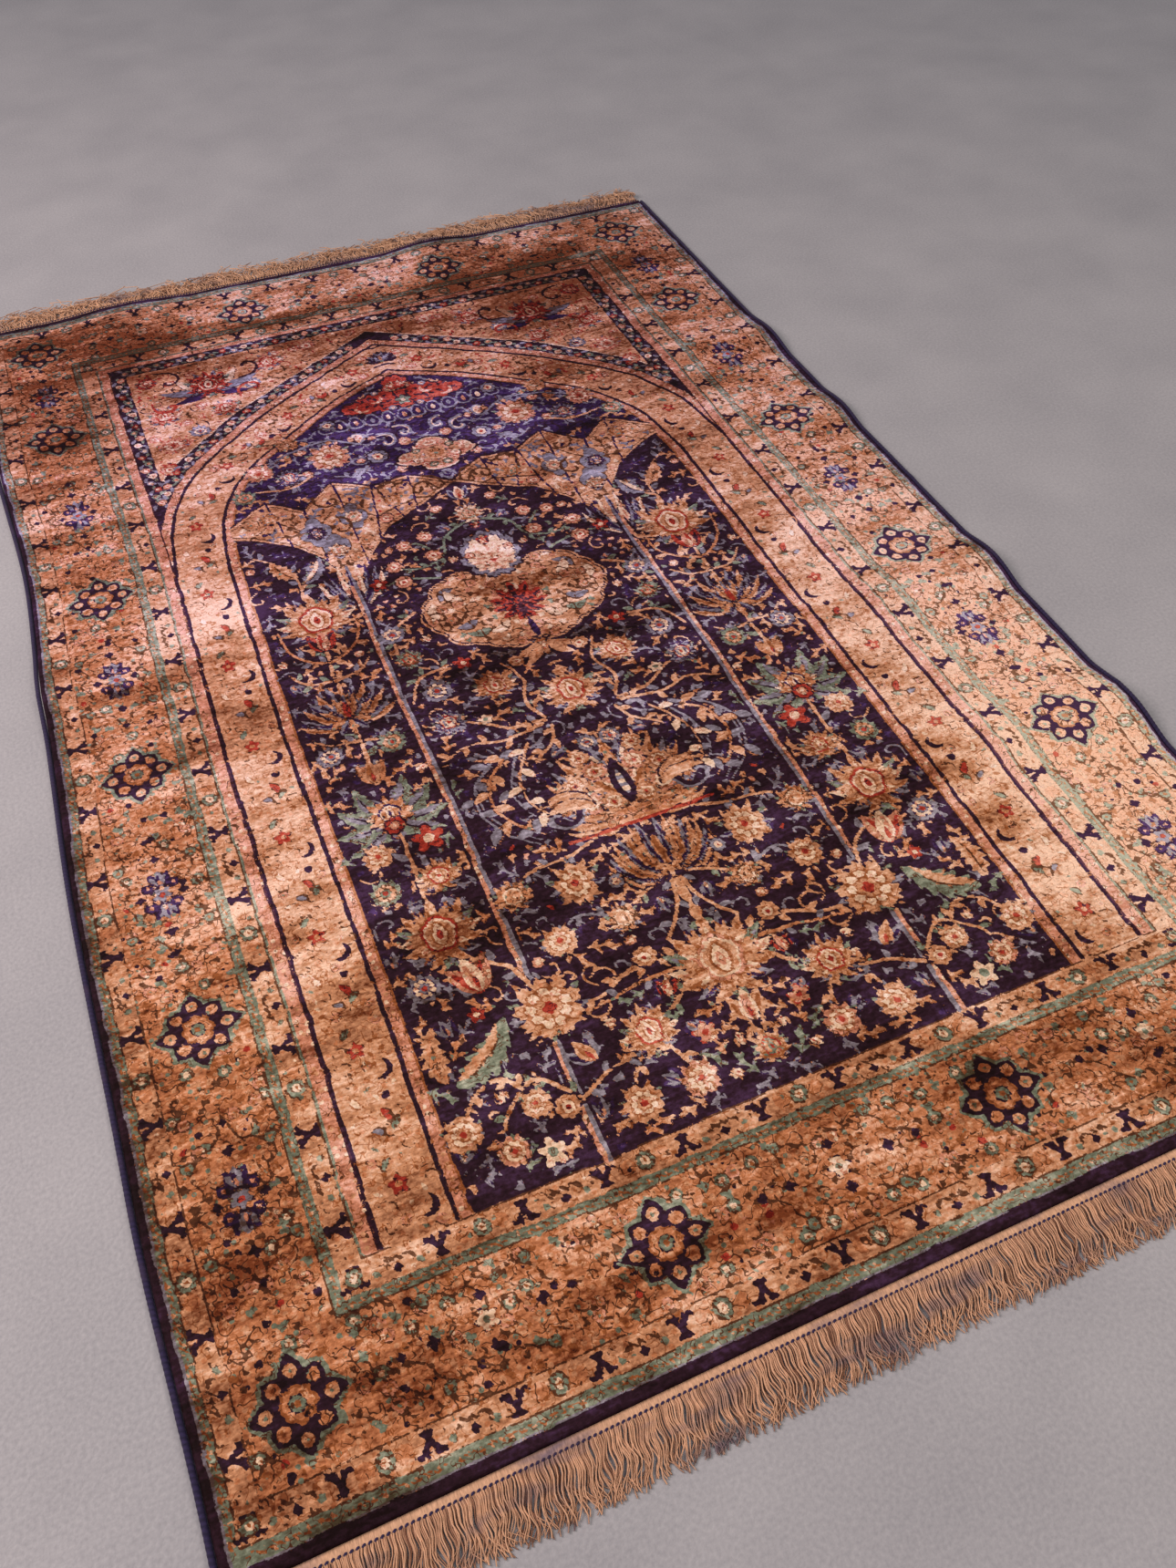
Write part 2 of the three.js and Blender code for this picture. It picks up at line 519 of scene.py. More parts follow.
@dataclass
class Drawing:
    """What a part of the pattern is drawn with: flowers, leaves and figures.

    Numbers in the methods are shares of a figure's size, degrees, or a few millimetres of rim.
    """

    chart: Chart

    def bloom(self, spot: Spot, size: float, kind: Figure, dye: Dye, squash: float = 1.0) -> None:
        """Draws a flower of the given width.

        Args:
            spot: Middle and heading.
            size: Width of the flower.
            kind: Which flower.
            dye: Colour scheme.
            squash: Width across the heading as a share of the length.
        """
        if kind is PALMETTE:
            self.palmette(spot, size, dye)
        elif kind is TULIP:
            self.tulip(spot.go(-0.5 * size), size, dye)
        else:
            if kind is PEONY:
                self.ring(spot, 0.56 * size, 11, 164, 0.30, (dye.rim, SLATE, dye.petal, SAGE))
            for layer in LAYERS[kind]:
                radius = 0.5 * size * layer.scale
                self.chart.lobed(spot, radius, dye[layer.part], layer, squash, dye.shade)

    def plant(self, flowers: Sequence[Flower]) -> None:
        """Draws flowers that face the far end."""
        for flower in flowers:
            self.bloom(Spot(flower.u, flower.v, UP), flower.size, flower.kind, flower.dye, flower.squash)

    def leaf(
        self, spot: Spot, length: float, width: float, yarn: Yarn, rim: Yarn, bend: float = 0.0
    ) -> None:
        """Draws a leaf with a darker rim."""
        self.chart.leaf(spot.go(-1.5), length + 3, width + 3.2, rim, bend)
        self.chart.leaf(spot, length, width, yarn, bend)

    def ring(
        self, spot: Spot, reach: float, count: int, spread: float, width: float, yarns: Sequence[Yarn]
    ) -> None:
        """Draws a ring of toothed petals about the heading.

        Args:
            spot: Where the petals meet, and the way the middle one points.
            reach: Length of the middle petal.
            count: Number of petals, an odd number.
            spread: Degrees from the middle petal to the last.
            width: Width of a petal as a share of its length.
            yarns: Rim and petal colours, the petals' taken in turn.
        """
        half = count // 2
        order = sorted(range(-half, half + 1), key=abs, reverse=True)
        rim = 2.6
        for k in order:
            length, broad = reach * (1 - 0.16 * abs(k) / max(half, 1)), width * reach
            petal = spot.facing(k * spread / max(half, 1))
            yarn = yarns[1 + abs(k) % (len(yarns) - 1)]
            self.chart.leaf(petal.go(-0.5 * rim), length + rim, broad + rim, yarns[0], 0.03 * k, 3)
            self.chart.leaf(petal, length, broad, yarn, 0.03 * k, 3, LININGS[yarn])

    def palmette(self, spot: Spot, size: float, dye: Dye) -> None:
        """Draws a palmette of three rings of petals round a heart, pointing along its heading.

        Args:
            spot: Middle and heading.
            size: Its height.
            dye: Colour scheme.
        """
        foot = spot.go(-0.05 * size)
        self.ring(foot, 0.54 * size, 17, 166, 0.29, (NAVY, dye.petal, SLATE, dye.petal, SAGE, dye.inner))
        jagged = Layer(Part.RIM, 1, 13, 0.24, 0.9, 0.3)
        self.chart.lobed(foot.go(0.03 * size), 0.40 * size, dye.shade, jagged)
        self.chart.lobed(foot.go(0.03 * size), 0.375 * size, dye.petal, jagged)
        self.ring(foot, 0.36 * size, 11, 150, 0.30, (dye.shade, dye.inner, dye.petal))
        body = foot.go(0.02 * size)
        for yarn, radius in ((dye.shade, 0.25), (dye.heart, 0.235), (dye.inner, 0.20), (dye.petal, 0.17)):
            self.chart.lobed(body, radius * size, yarn, Layer(Part.RIM, 1, 5, 0.14, 0.8), 0.86)
        self.chart.leaf(foot.go(-0.14 * size), 0.34 * size, 0.19 * size, dye.shade)
        self.chart.leaf(foot.go(-0.12 * size), 0.29 * size, 0.14 * size, dye.inner)
        self.chart.leaf(foot.go(-0.06 * size), 0.16 * size, 0.07 * size, dye.heart)

    def saz(self, spot: Spot, length: float, dye: Dye, bend: float) -> None:
        """Draws a long toothed leaf in two colours, split along its rib.

        Args:
            spot: Foot and heading.
            length: Length of the leaf.
            dye: Colour scheme.
            bend: Sideways bow as a share of the length.
        """
        self.chart.leaf(spot.go(-1), length + 3, 0.52 * length, dye.rim, bend, 6)
        self.chart.leaf(spot, length, 0.46 * length, dye.petal, bend, 6)
        stripe = spot.go(0.08 * length, 0.04 * length)
        self.chart.leaf(stripe, 0.8 * length, 0.2 * length, dye.inner, bend, 6)
        self.chart.leaf(spot, length * 0.96, 2.4, dye.shade, bend)

    def fan(self, spot: Spot, size: float, dye: Dye) -> None:
        """Draws a fan of slim blades over a heart, pointing along the heading.

        Args:
            spot: Foot and heading.
            size: Length of the middle blade.
            dye: Colour scheme.
        """
        self.ring(spot, size, 13, 76, 0.17, (dye.rim, dye.petal, dye.inner))
        self.ring(spot.go(0.05 * size), 0.66 * size, 7, 52, 0.17, (dye.shade, dye.inner, dye.petal))
        self.chart.leaf(spot.go(0.08 * size), 0.40 * size, 0.11 * size, dye.heart)
        self.chart.leaf(spot.go(-0.12 * size), 0.22 * size, 0.14 * size, SAGE)

    def tulip(self, spot: Spot, size: float, dye: Dye) -> None:
        """Draws a bud of three blades on its cup.

        Args:
            spot: Foot and heading.
            size: Length of the middle blade.
            dye: Colour scheme.
        """
        for k in (-1, 1, 0):
            blade = spot.facing(k * 26)
            self.chart.leaf(blade.go(-1.2), size + 2.4, 0.42 * size + 2, dye.rim)
            yarn = dye.petal if k else dye.inner
            self.chart.leaf(blade, size, 0.42 * size, yarn, 0, 0, LININGS[yarn])
        self.chart.leaf(spot.go(0.1 * size), 0.42 * size, 0.13 * size, dye.heart)

    def branch(
        self, points: Points, width: float, yarn: Yarn, leaf: float, leaves: Yarn, every: int = 5
    ) -> None:
        """Draws a stem with leaves on alternate sides.

        Args:
            points: Places that the stem passes.
            width: Width of the stem.
            yarn: Colour of the stem.
            leaf: Length of a leaf, 0 for a bare stem.
            leaves: Colour of the leaves.
            every: Samples of the stem between leaves.
        """
        line = flow(points)
        self.chart.stroke(points, width + 3, NAVY, 0.7)
        for k, (a, b) in enumerate(zip(line, line[1:])):
            if leaf and k % every == every // 2:
                side = 1 if (k // every) % 2 else -1
                heading = math.degrees(math.atan2(b[1] - a[1], b[0] - a[0]))
                blade = Spot(a[0], a[1], heading + 52 * side)
                self.leaf(blade, leaf, 0.44 * leaf, leaves, NAVY, 0.08 * side)
        self.chart.stroke(points, width, yarn, 0.6)

    def curl(self, spot: Spot, size: float, yarn: Yarn, width: float, hand: int = 1) -> None:
        """Draws a spiral tendril that winds to the given hand.

        Args:
            spot: Start and heading.
            size: Reach of the spiral.
            yarn: Colour.
            width: Width of the line.
            hand: 1 or -1, the way it winds.
        """
        turns = np.linspace(0, 1, 7)
        bow = [spot.go(size * t * math.cos(4.4 * t), hand * size * t * math.sin(4.4 * t)) for t in turns]
        self.chart.stroke(bow, width, yarn, 0.8)

    def spray(self, spot: Spot, size: float, yarn: Yarn) -> None:
        """Draws a curved sprig of five leaves.

        Args:
            spot: Foot and heading.
            size: Length of the sprig.
            yarn: Colour.
        """
        for k, (along, turn) in enumerate(((0, 50), (0.15, -55), (0.35, 42), (0.5, -38), (0.6, 0))):
            foot = spot.go(along * size, 0.12 * size * along)
            bend = 0.12 if k % 2 else -0.12
            self.chart.leaf(foot.facing(turn), 0.46 * size, 0.19 * size, yarn, bend, 2, LININGS[yarn])
        tip = spot.go(0.7 * size, 0.08 * size)
        self.chart.stroke([spot, tip], 2.2, yarn)

    def crescent(self, spot: Spot, size: float, yarn: Yarn) -> None:
        """Draws a crescent with its back along the heading.

        Args:
            spot: Middle and heading.
            size: Radius.
            yarn: Colour.
        """
        cells, du, dv = self.chart.around(spot.u, spot.v, size)
        off = spot.go(-0.42 * size)
        hollow = np.hypot(du - off.u + spot.u, dv - off.v + spot.v) < 0.82 * size
        cells[(np.hypot(du, dv) < 0.9 * size) & ~hollow] = yarn

    def fork(self, spot: Spot, size: float, yarn: Yarn) -> None:
        """Draws a forked leaf, a stem with two hooked arms, the sign of the narrow borders.

        Args:
            spot: Middle and heading.
            size: Length of the leaf.
            yarn: Colour.
        """
        for hand in (-1, 1):
            reach = ((-0.12, 0), (0.10, 0.16), (0.30, 0.34), (0.44, 0.50), (0.30, 0.60))
            arm = [spot.go(s * size, t * size * hand) for s, t in reach]
            self.chart.stroke(arm, 0.26 * size, yarn, 0.5)
            inner = spot.go(0.12 * size, 0.16 * size * hand, 8 * hand)
            self.chart.leaf(inner, 0.50 * size, 0.26 * size, yarn)
            outer = spot.go(-0.3 * size, 0, 115 * hand)
            self.chart.leaf(outer, 0.42 * size, 0.24 * size, yarn)
        self.chart.leaf(spot.go(-0.56 * size), 0.66 * size, 0.32 * size, yarn)

    def medallion(self, spot: Spot, size: float) -> None:
        """Draws the dark star of the main border, with a rosette and eight small flowers.

        Args:
            spot: Middle and heading.
            size: Width of the star.
        """
        arms = [(45 * k, 0.32 if k % 2 else 0.36) for k in range(8)]
        for yarn, grow in ((SAGE, 3.6), (NAVY, 0)):
            self.chart.lobed(spot, 0.36 * size + grow, yarn, DISC)
            for angle, out in arms:
                arm = spot.facing(angle)
                reach = 0.56 if angle % 90 == 0 else 0.47
                self.chart.lobed(arm.go(out * size * 0.96), 0.135 * size + grow, yarn, DISC)
                self.chart.leaf(arm.go(0.2 * size), (reach - 0.2) * size + grow, 0.24 * size + grow, yarn)
        for angle, out in arms:
            small = spot.facing(angle).go(out * size)
            petal, heart = (PEACH, RUST) if angle % 90 else (GOLD, SAGE)
            self.chart.lobed(small, 0.080 * size, petal, LAYERS[ROSETTE][0])
            self.chart.lobed(small, 0.038 * size, heart, LAYERS[STAR][1])
        self.bloom(spot, 0.43 * size, ROSETTE, Dye(RUST, PEACH, NAVY, SAGE, RUST))

    def sow(self, plot: Plot, seeds: Sequence[Seed]) -> None:
        """Fills plain ground with small figures, taken by their weight.

        Args:
            plot: The ground to fill.
            seeds: What may grow there.
        """
        rng = np.random.default_rng(plot.chance)
        u0, u1, v0, v1 = plot.box
        limits = np.cumsum([seed.weight for seed in seeds])
        for _ in range(plot.tries):
            spot = Spot(rng.uniform(u0, u1), rng.uniform(v0, v1), rng.uniform(0, 360))
            pick, hand = rng.uniform(0, limits[-1]), 1 if rng.random() < 0.5 else -1
            if self.chart.plain(spot.u, spot.v, plot.room, plot.ground):
                self.sprout(spot, seeds[int(np.searchsorted(limits, pick))], hand)

    def sprout(self, spot: Spot, seed: Seed, hand: int) -> None:
        """Draws one small figure, leaning to the given hand.

        Args:
            spot: Middle and heading.
            seed: Kind, size and colours.
            hand: 1 or -1, the way it leans.
        """
        size = seed.size
        if seed.kind is LEAF:
            self.chart.leaf(spot.go(-0.5 * size), size, 0.42 * size, seed.colour, 0.12 * hand)
        elif seed.kind is PAIR:
            lining = LININGS[seed.colour]
            self.chart.leaf(spot.go(-0.5 * size), size, 0.36 * size, seed.colour, 0.2 * hand, 2, lining)
            left = spot.go(-0.3 * size, 0.1 * size * hand, 46 * hand)
            self.chart.leaf(left, 0.6 * size, 0.26 * size, seed.colour)
            right = spot.go(-0.1 * size, 0.14 * size * hand, -38 * hand)
            self.chart.leaf(right, 0.56 * size, 0.24 * size, seed.colour)
        elif seed.kind is CURL:
            self.curl(spot, size, seed.colour, max(1.7, 0.16 * size), hand)
        elif seed.kind is SPRAY:
            self.spray(spot.go(-0.5 * size), size, seed.colour)
        elif seed.kind is DOT:
            self.chart.lobed(spot, 0.5 * size, seed.colour, LAYERS[BUD][0])
        else:
            self.bloom(spot, size, seed.kind, seed.colour)


class Ring(NamedTuple):
    """Outer edge of a band: its place on the sides, at the far end and at the near end, and its yarn."""

    u: float
    far: float
    near: float
    yarn: Yarn


@dataclass
class Borders(Drawing):
    """The bands round the field, from the edge in, and their repeats, in millimetres on the chart."""

    rings: tuple[Ring, ...] = (
        Ring(587, 10, 1890, SLATE),
        Ring(584.5, 12, 1888, SAGE),
        Ring(576.4, 23.4, 1876.6, BROWN),
        Ring(575, 25, 1875, GOLD),
        Ring(555, 47.4, 1850, BROWN),
        Ring(553.3, 49.2, 1848.3, PEACH),
        Ring(457.4, 145.1, 1742.4, BROWN),
        Ring(455.8, 146.7, 1740.8, SAGE),
        Ring(446.2, 157.9, 1731.2, BROWN),
        Ring(444.6, 159.6, 1729.6, GOLD),
        Ring(423.2, 181.8, 1704.2, BROWN),
        Ring(421.5, 183.5, 1702.5, SAGE),
        Ring(419, 185.5, 1702.5, SALMON),
        Ring(406.6, 195.4, 1702.5, WINE),
        Ring(404.2, 197.5, 1702.5, NAVY),
    )
    star: float = 78.0
    star_u: float = 505.0
    side_stars: tuple[float, ...] = (98.0, 357.0, 741.0, 1067.0, 1423.0, 1793.0)
    end_stars: tuple[float, ...] = (172.0,)
    vine_pitch: float = 9.0
    vine_width: float = 1.7
    vine_dot: float = 1.6
    outline_width: float = 1.9

    def paint(self) -> None:
        """Draws all the bands."""
        for ring in self.rings:
            self.chart.band(0, ring.u, ring.far, ring.near, ring.yarn)
        self.fill_bands()
        self.guards()
        self.narrow(565.5, 36, 1862.5, 100, 78.5)
        self.narrow(434, 170.5, 1717, 97, 86)
        self.main_band()

    def fill_bands(self) -> None:
        """Sows the close ground of scrolls, leaves and small flowers over the wide border."""
        seeds = (
            Seed(0.20, CURL, 13, BROWN),
            Seed(0.12, CURL, 12, RUST),
            Seed(0.16, PAIR, 14, RUST),
            Seed(0.10, PAIR, 13, BROWN),
            Seed(0.12, PAIR, 16, SAGE),
            Seed(0.06, PAIR, 14, GOLD),
            Seed(0.07, ROSETTE, 16, GUARD),
            Seed(0.07, ROSETTE, 15, CLAY),
            Seed(0.06, DOT, 9, NAVY),
            Seed(0.04, DOT, 8, RED),
        )
        small = (
            Seed(0.30, LEAF, 7, BROWN),
            Seed(0.26, LEAF, 7.5, RUST),
            Seed(0.14, LEAF, 7, SAGE),
            Seed(0.12, LEAF, 7.5, GOLD),
            Seed(0.10, LEAF, 7, SALMON),
            Seed(0.08, DOT, 4.5, NAVY),
        )
        boxes = ((459, 552, 50, 1847), (0, 460, 50, 144), (0, 460, 1744, 1847))
        for index, box in enumerate(boxes):
            area = (box[1] - box[0]) * (box[3] - box[2])
            self.sow(Plot(box, PEACH, 4.6, int(area * 0.07), 7 + index), seeds)
            self.sow(Plot(box, PEACH, 2.6, int(area * 0.06), 17 + index), small)

    def guards(self) -> None:
        """Draws the running zigzag vines of the two sage guard bands."""
        for u, far, near, depth in ((580.6, 17.4, 1882.6, 2.4), (451.3, 152, 1736.3, 2.2)):
            self.vine(Spot(u, far, 90), near - far, depth)
            for v in (far, near):
                self.vine(Spot(0, v, 0), u, -depth)

    def vine(self, start: Spot, length: float, depth: float) -> None:
        """Draws one zigzag vine with a dot at each turn.

        Args:
            start: Where it begins, heading along the band.
            length: How far it runs.
            depth: How far it swings to each side.
        """
        pitch = self.vine_pitch
        for k in range(int(length / pitch)):
            swing = depth if k % 2 else -depth
            turns = [start.go(pitch * k, swing), start.go(pitch * (k + 1), -swing)]
            self.chart.stroke(turns, self.vine_width, RUST)
            self.chart.lobed(start.go(pitch * k, -0.6 * swing), self.vine_dot, GOLD, DISC)

    def narrow(self, u: float, far: float, near: float, side: float, end: float) -> None:
        """Draws one narrow border: rosettes, forked leaves and small scrolls.

        Args:
            u: Middle of the band on the sides.
            far: Middle of the band at the far end.
            near: Middle of the band at the near end.
            side: Length of half a repeat along the sides.
            end: Length of half a repeat along the ends.
        """
        count = round((near - far) / side)
        pitch = (near - far) / count
        for k in range(1, count):
            self.unit(Spot(u, far + pitch * k, 90), pitch, k)
        count = int(u / end)
        pitch = u / (count + 0.5)
        for k in range(count + 1):
            self.unit(Spot(pitch * k, far, 0), pitch, k)
            self.unit(Spot(pitch * k, near, 0), pitch, k)
        for v in (far, near):
            self.bloom(Spot(u, v), 18, ROSETTE, GUARD)
        seeds = (
            Seed(0.5, CURL, 5.5, BROWN),
            Seed(0.2, LEAF, 6.5, RUST),
            Seed(0.2, LEAF, 6.5, SAGE),
            Seed(0.1, DOT, 4.5, CREAM),
        )
        strips = (
            (u - 10, u + 10, far - 8, near + 8),
            (0, u, far - 10, far + 10),
            (0, u, near - 10, near + 10),
        )
        for index, box in enumerate(strips):
            self.sow(Plot(box, GOLD, 3.4, 1800, 60 + index), seeds)

    def unit(self, spot: Spot, pitch: float, index: int) -> None:
        """Draws half a repeat of a narrow border, centred on a rosette or a scroll.

        Args:
            spot: Middle of the half repeat, heading along the band.
            pitch: Length of the half repeat.
            index: Its number along the band.
        """
        chart = self.chart
        self.fork(spot.go(0.5 * pitch, 0, 90 if index % 2 else -90), 20, NAVY)
        if index % 2 == 0:
            self.bloom(spot, 21, ROSETTE, GUARD)
            for hand in (-1, 1):
                blob = spot.go(17.5 * hand)
                chart.lobed(blob, 8.4, RUST, LAYERS[ROSETTE][0])
                chart.lobed(blob, 7.4, PEACH, LAYERS[ROSETTE][0])
            return
        scroll = [(15, -1), (8, -6), (3.5, -2), (0, -6.5), (-3.5, -2), (-8, -6), (-15, -1)]
        line = [spot.go(s, t) for s, t in scroll]
        chart.stroke(line, 2.2, BROWN)
        for hand in (-1, 1):
            self.curl(spot.go(12 * hand, -3), 6, BROWN, self.outline_width, hand)
            chart.lobed(spot.go(20 * hand, 4), 4.4, SAGE, LAYERS[STAR][1])
        self.bloom(spot.go(0, 4.5), 10.5, CROSS, INK)

    def main_band(self) -> None:
        """Draws the stars of the wide border and the lobed panels between them."""
        for a, b in zip(self.side_stars, self.side_stars[1:]):
            self.panel(Spot(self.star_u, 0.5 * (a + b), 90), 0.5 * (b - a) - 0.5 * self.star, True)
        ends = (*self.end_stars, self.star_u)
        for v in (self.side_stars[0], self.side_stars[-1]):
            self.panel(Spot(0, v, 0), ends[0] - 0.5 * self.star, False)
            for a, b in zip(ends, ends[1:]):
                self.panel(Spot(0.5 * (a + b), v, 0), 0.5 * (b - a) - 0.5 * self.star, False)
            for u in ends:
                self.medallion(Spot(u, v), self.star)
        for v in self.side_stars[1:-1]:
            self.medallion(Spot(self.star_u, v), self.star)

    def panel(self, spot: Spot, reach: float, dusky: bool) -> None:
        """Draws the figure midway between two stars.

        Args:
            spot: Middle of the panel, heading along the band.
            reach: Half the free length between the stars.
            dusky: Whether a violet cross of buds fills its middle.
        """
        chart = self.chart
        outline = ((0, 40), (18, 30), (36, 37), (54, 26), (60, 12), (86, 0))
        stretch = min(1, reach / 92)
        for su in (-1, 1):
            for st in (-1, 1):
                line = [spot.go(su * s * stretch, st * t) for s, t in outline]
                chart.stroke(line, self.outline_width, BROWN)
                self.bloom(spot.go(su * 47 * stretch, st * 38), 14, BUD, GUARD)
                self.bloom(spot.go(su * 90 * stretch, st * 34), 15, ROSETTE, CLAY)
                self.bloom(spot.go(su * 24 * stretch, st * 17), 15, ROSETTE, LACE)
                if dusky:
                    self.bloom(spot.go(su * 13, st * 13), 15, BUD, IRIS)
            self.bloom(spot.go(su * 50 * stretch), 13, CROSS, INK)
            self.bloom(spot.go(su * 78 * stretch), 10, CROSS, INK)
            self.bloom(spot.go(0, su * 22), 12, CROSS, INK)
            if dusky:
                self.tulip(spot.facing(0 if su > 0 else 180).go(10), 24, IRIS)
        self.bloom(spot, 24, STAR, SNOW if not dusky else DUSK)


@dataclass
class Niche(Drawing):
    """The arch with its columns: a gold band between dark lines, and the corners above it.

    The profile is the outer line of the gold band: v along, u its half-width there.
    """

    profile: Points = (
        (286, 0),
        (320, 58),
        (355, 117),
        (411, 206),
        (485, 295),
        (533, 339),
        (590, 371),
        (655, 391),
        (735, 401),
        (760, 401.5),
    )
    frame_u: float = 404.0
    far: float = 197.5
    foot: float = 1702.5
    flower_band: float = 23.0
    gold_band: float = 68.0
    rise: float = 16.0
    # Above this line the field's ground is indigo: partly the rug's ground, partly a painted violet sheen
    # of the upper field.
    violet: float = 690.0

    def depth(self) -> np.ndarray:
        """How far each cell lies inside the arch's outer line, below 0 outside it.

        Returns:
            Millimetres, by row and column of the chart.
        """
        chart = self.chart
        line = flow(self.profile, 12)
        edge = np.interp(chart.vs, line[:, 0], line[:, 1])
        slope = np.gradient(edge, chart.vs)
        above = np.minimum(chart.vs - self.profile[0][0], 0)
        start = (self.profile[1][1] - self.profile[0][1]) / (self.profile[1][0] - self.profile[0][0])
        edge = edge + above * start
        slope = np.where(chart.vs < self.profile[0][0] + 6, start, slope)
        return (edge[:, None] - chart.us[None, :]) / np.hypot(1, slope)[:, None]

    def paint(self) -> None:
        """Draws the corners, the bands of the arch and its columns, and leaves the field dark."""
        chart = self.chart
        depth = self.depth()
        inside = (chart.us[None, :] < self.frame_u) & (chart.vs[:, None] > self.far)
        inside = inside & (chart.vs[:, None] < self.foot)
        corner_u, corner_v = self.frame_u - self.flower_band, self.far + self.flower_band
        corner = inside & (chart.us[None, :] < corner_u) & (chart.vs[:, None] > corner_v)
        outer = -(self.rise + self.flower_band)
        chart.ink[corner & (depth < outer)] = CREAM
        chart.ink[corner & (depth < outer - 2)] = GOLD
        steps = (
            (outer, NAVY),
            (-self.rise, SALMON),
            (-4.4, NAVY),
            (0.6, GOLD),
            (self.gold_band - 2, NAVY),
            (self.gold_band + 3, SALMON),
            (self.gold_band + 12.5, RUST),
            (self.gold_band + 15, NAVY),
        )
        for start, yarn in steps:
            chart.ink[inside & (depth > start)] = yarn
        # Indigo ground above the violet line, standing partly for painted violet sheen on the upper field.
        chart.ink[inside & (depth > self.gold_band + 18) & (chart.vs[:, None] < self.violet)] = INDIGO
        self.fill_corners()
        self.fill_flower_band()
        self.fill_gold_band()

    def fill_corners(self) -> None:
        """Draws the flowers in the corners above the arch."""
        box = (20, 380, 221, 520)
        seeds = (
            Seed(0.22, SPRAY, 24, RUST),
            Seed(0.14, SPRAY, 22, BROWN),
            Seed(0.14, SPRAY, 20, RED),
            Seed(0.14, ROSETTE, 19, FLAME),
            Seed(0.12, CURL, 16, WINE),
            Seed(0.12, CURL, 14, RED),
            Seed(0.12, ROSETTE, 17, CLAY),
        )
        self.sow(Plot(box, GOLD, 6.5, 2600, 20), seeds)
        figures = (
            Flower(345, 352, 62, PALMETTE, ROSE),
            Flower(256, 366, 50, PALMETTE, ROSE),
            Flower(348, 436, 50, PEONY, FLAME),
            Flower(356, 254, 38, PEONY, EMBER),
            Flower(170, 264, 56, PALMETTE, ROSE),
            Flower(100, 244, 34, PEONY, FLAME),
            Flower(304, 414, 34, PEONY, DUSK),
            Flower(205, 316, 32, PEONY, DUSK),
            Flower(364, 494, 30, ROSETTE, FLAME),
        )
        self.plant(figures)
        for hand in (-1, 1):
            for turn, length, yarn in ((8, 78, SLATE), (40, 62, CREAM), (-26, 66, INDIGO)):
                way = UP + hand * (90 - turn)
                self.leaf(Spot(268, 300, way), length, 18, yarn, NAVY, 0.14 * hand)
            self.curl(Spot(268 + 60 * hand, 262, 40 * hand), 34, WINE, 5, hand)
            self.curl(Spot(268 + 64 * hand, 330, 220 * hand), 30, RED, 4.4, -hand)
        self.palmette(Spot(268, 290, UP), 84, Dye(NAVY, RED, WINE, CREAM, RED))
        seeds = (
            Seed(0.30, LEAF, 10, PEACH),
            Seed(0.22, LEAF, 9, RUST),
            Seed(0.16, LEAF, 9, RED),
            Seed(0.16, PAIR, 9, BROWN),
            Seed(0.16, LEAF, 9, CREAM),
        )
        self.sow(Plot(box, GOLD, 2.6, 8000, 21), seeds)

    def fill_flower_band(self) -> None:
        """Draws the small flowers along the dark band over the arch and down its sides."""
        middle = -(self.rise + 0.5 * self.flower_band)
        pitch = 17
        runs = [self.along_arch(middle, pitch, 30)]
        runs.append([Spot(u, self.far + 0.5 * self.flower_band, 0.0) for u in np.arange(8.0, 395.0, pitch)])
        side = self.frame_u - 0.5 * self.flower_band
        runs.append([Spot(side, v, 90.0) for v in np.arange(228.0, 580.0, pitch)])
        dyes = (ROSE, SNOW, DUSK, EMBER, MOSS)
        for run in runs:
            for k, spot in enumerate(run):
                hand = 1 if k % 2 else -1
                self.chart.leaf(spot.go(1, 4 * hand, 18 * hand), 15, 5.6, SLATE, 0.16 * hand)
                self.chart.leaf(spot.go(-2, 5 * hand, 160), 10, 4.6, SAGE, 0.1 * hand)
                self.bloom(spot.go(0, -3 * hand), 15, ROSETTE, dyes[k % len(dyes)])

    def along_arch(self, depth: float, pitch: float, start: float) -> list[Spot]:
        """Places along the arch.

        Args:
            depth: How far inside the outer line they lie.
            pitch: Distance from one to the next.
            start: Distance of the first from the middle line, along the arch.

        Returns:
            The places, heading down the arch.
        """
        line = flow(self.profile, 12)[:, ::-1]
        step = np.gradient(line, axis=0)
        step = step / np.hypot(step[:, 0], step[:, 1])[:, None]
        line = line + depth * np.stack([-step[:, 1], step[:, 0]], 1)
        run = np.concatenate([[0], np.cumsum(np.hypot(*np.diff(line, axis=0).T))])
        found = []
        for s in np.arange(start, run[-1], pitch):
            u, v = np.interp(s, run, line[:, 0]), np.interp(s, run, line[:, 1])
            heading = math.atan2(np.interp(s, run, step[:, 1]), np.interp(s, run, step[:, 0]))
            if v < 570 or depth > 0:
                found.append(Spot(float(u), float(v), math.degrees(heading)))
        return found

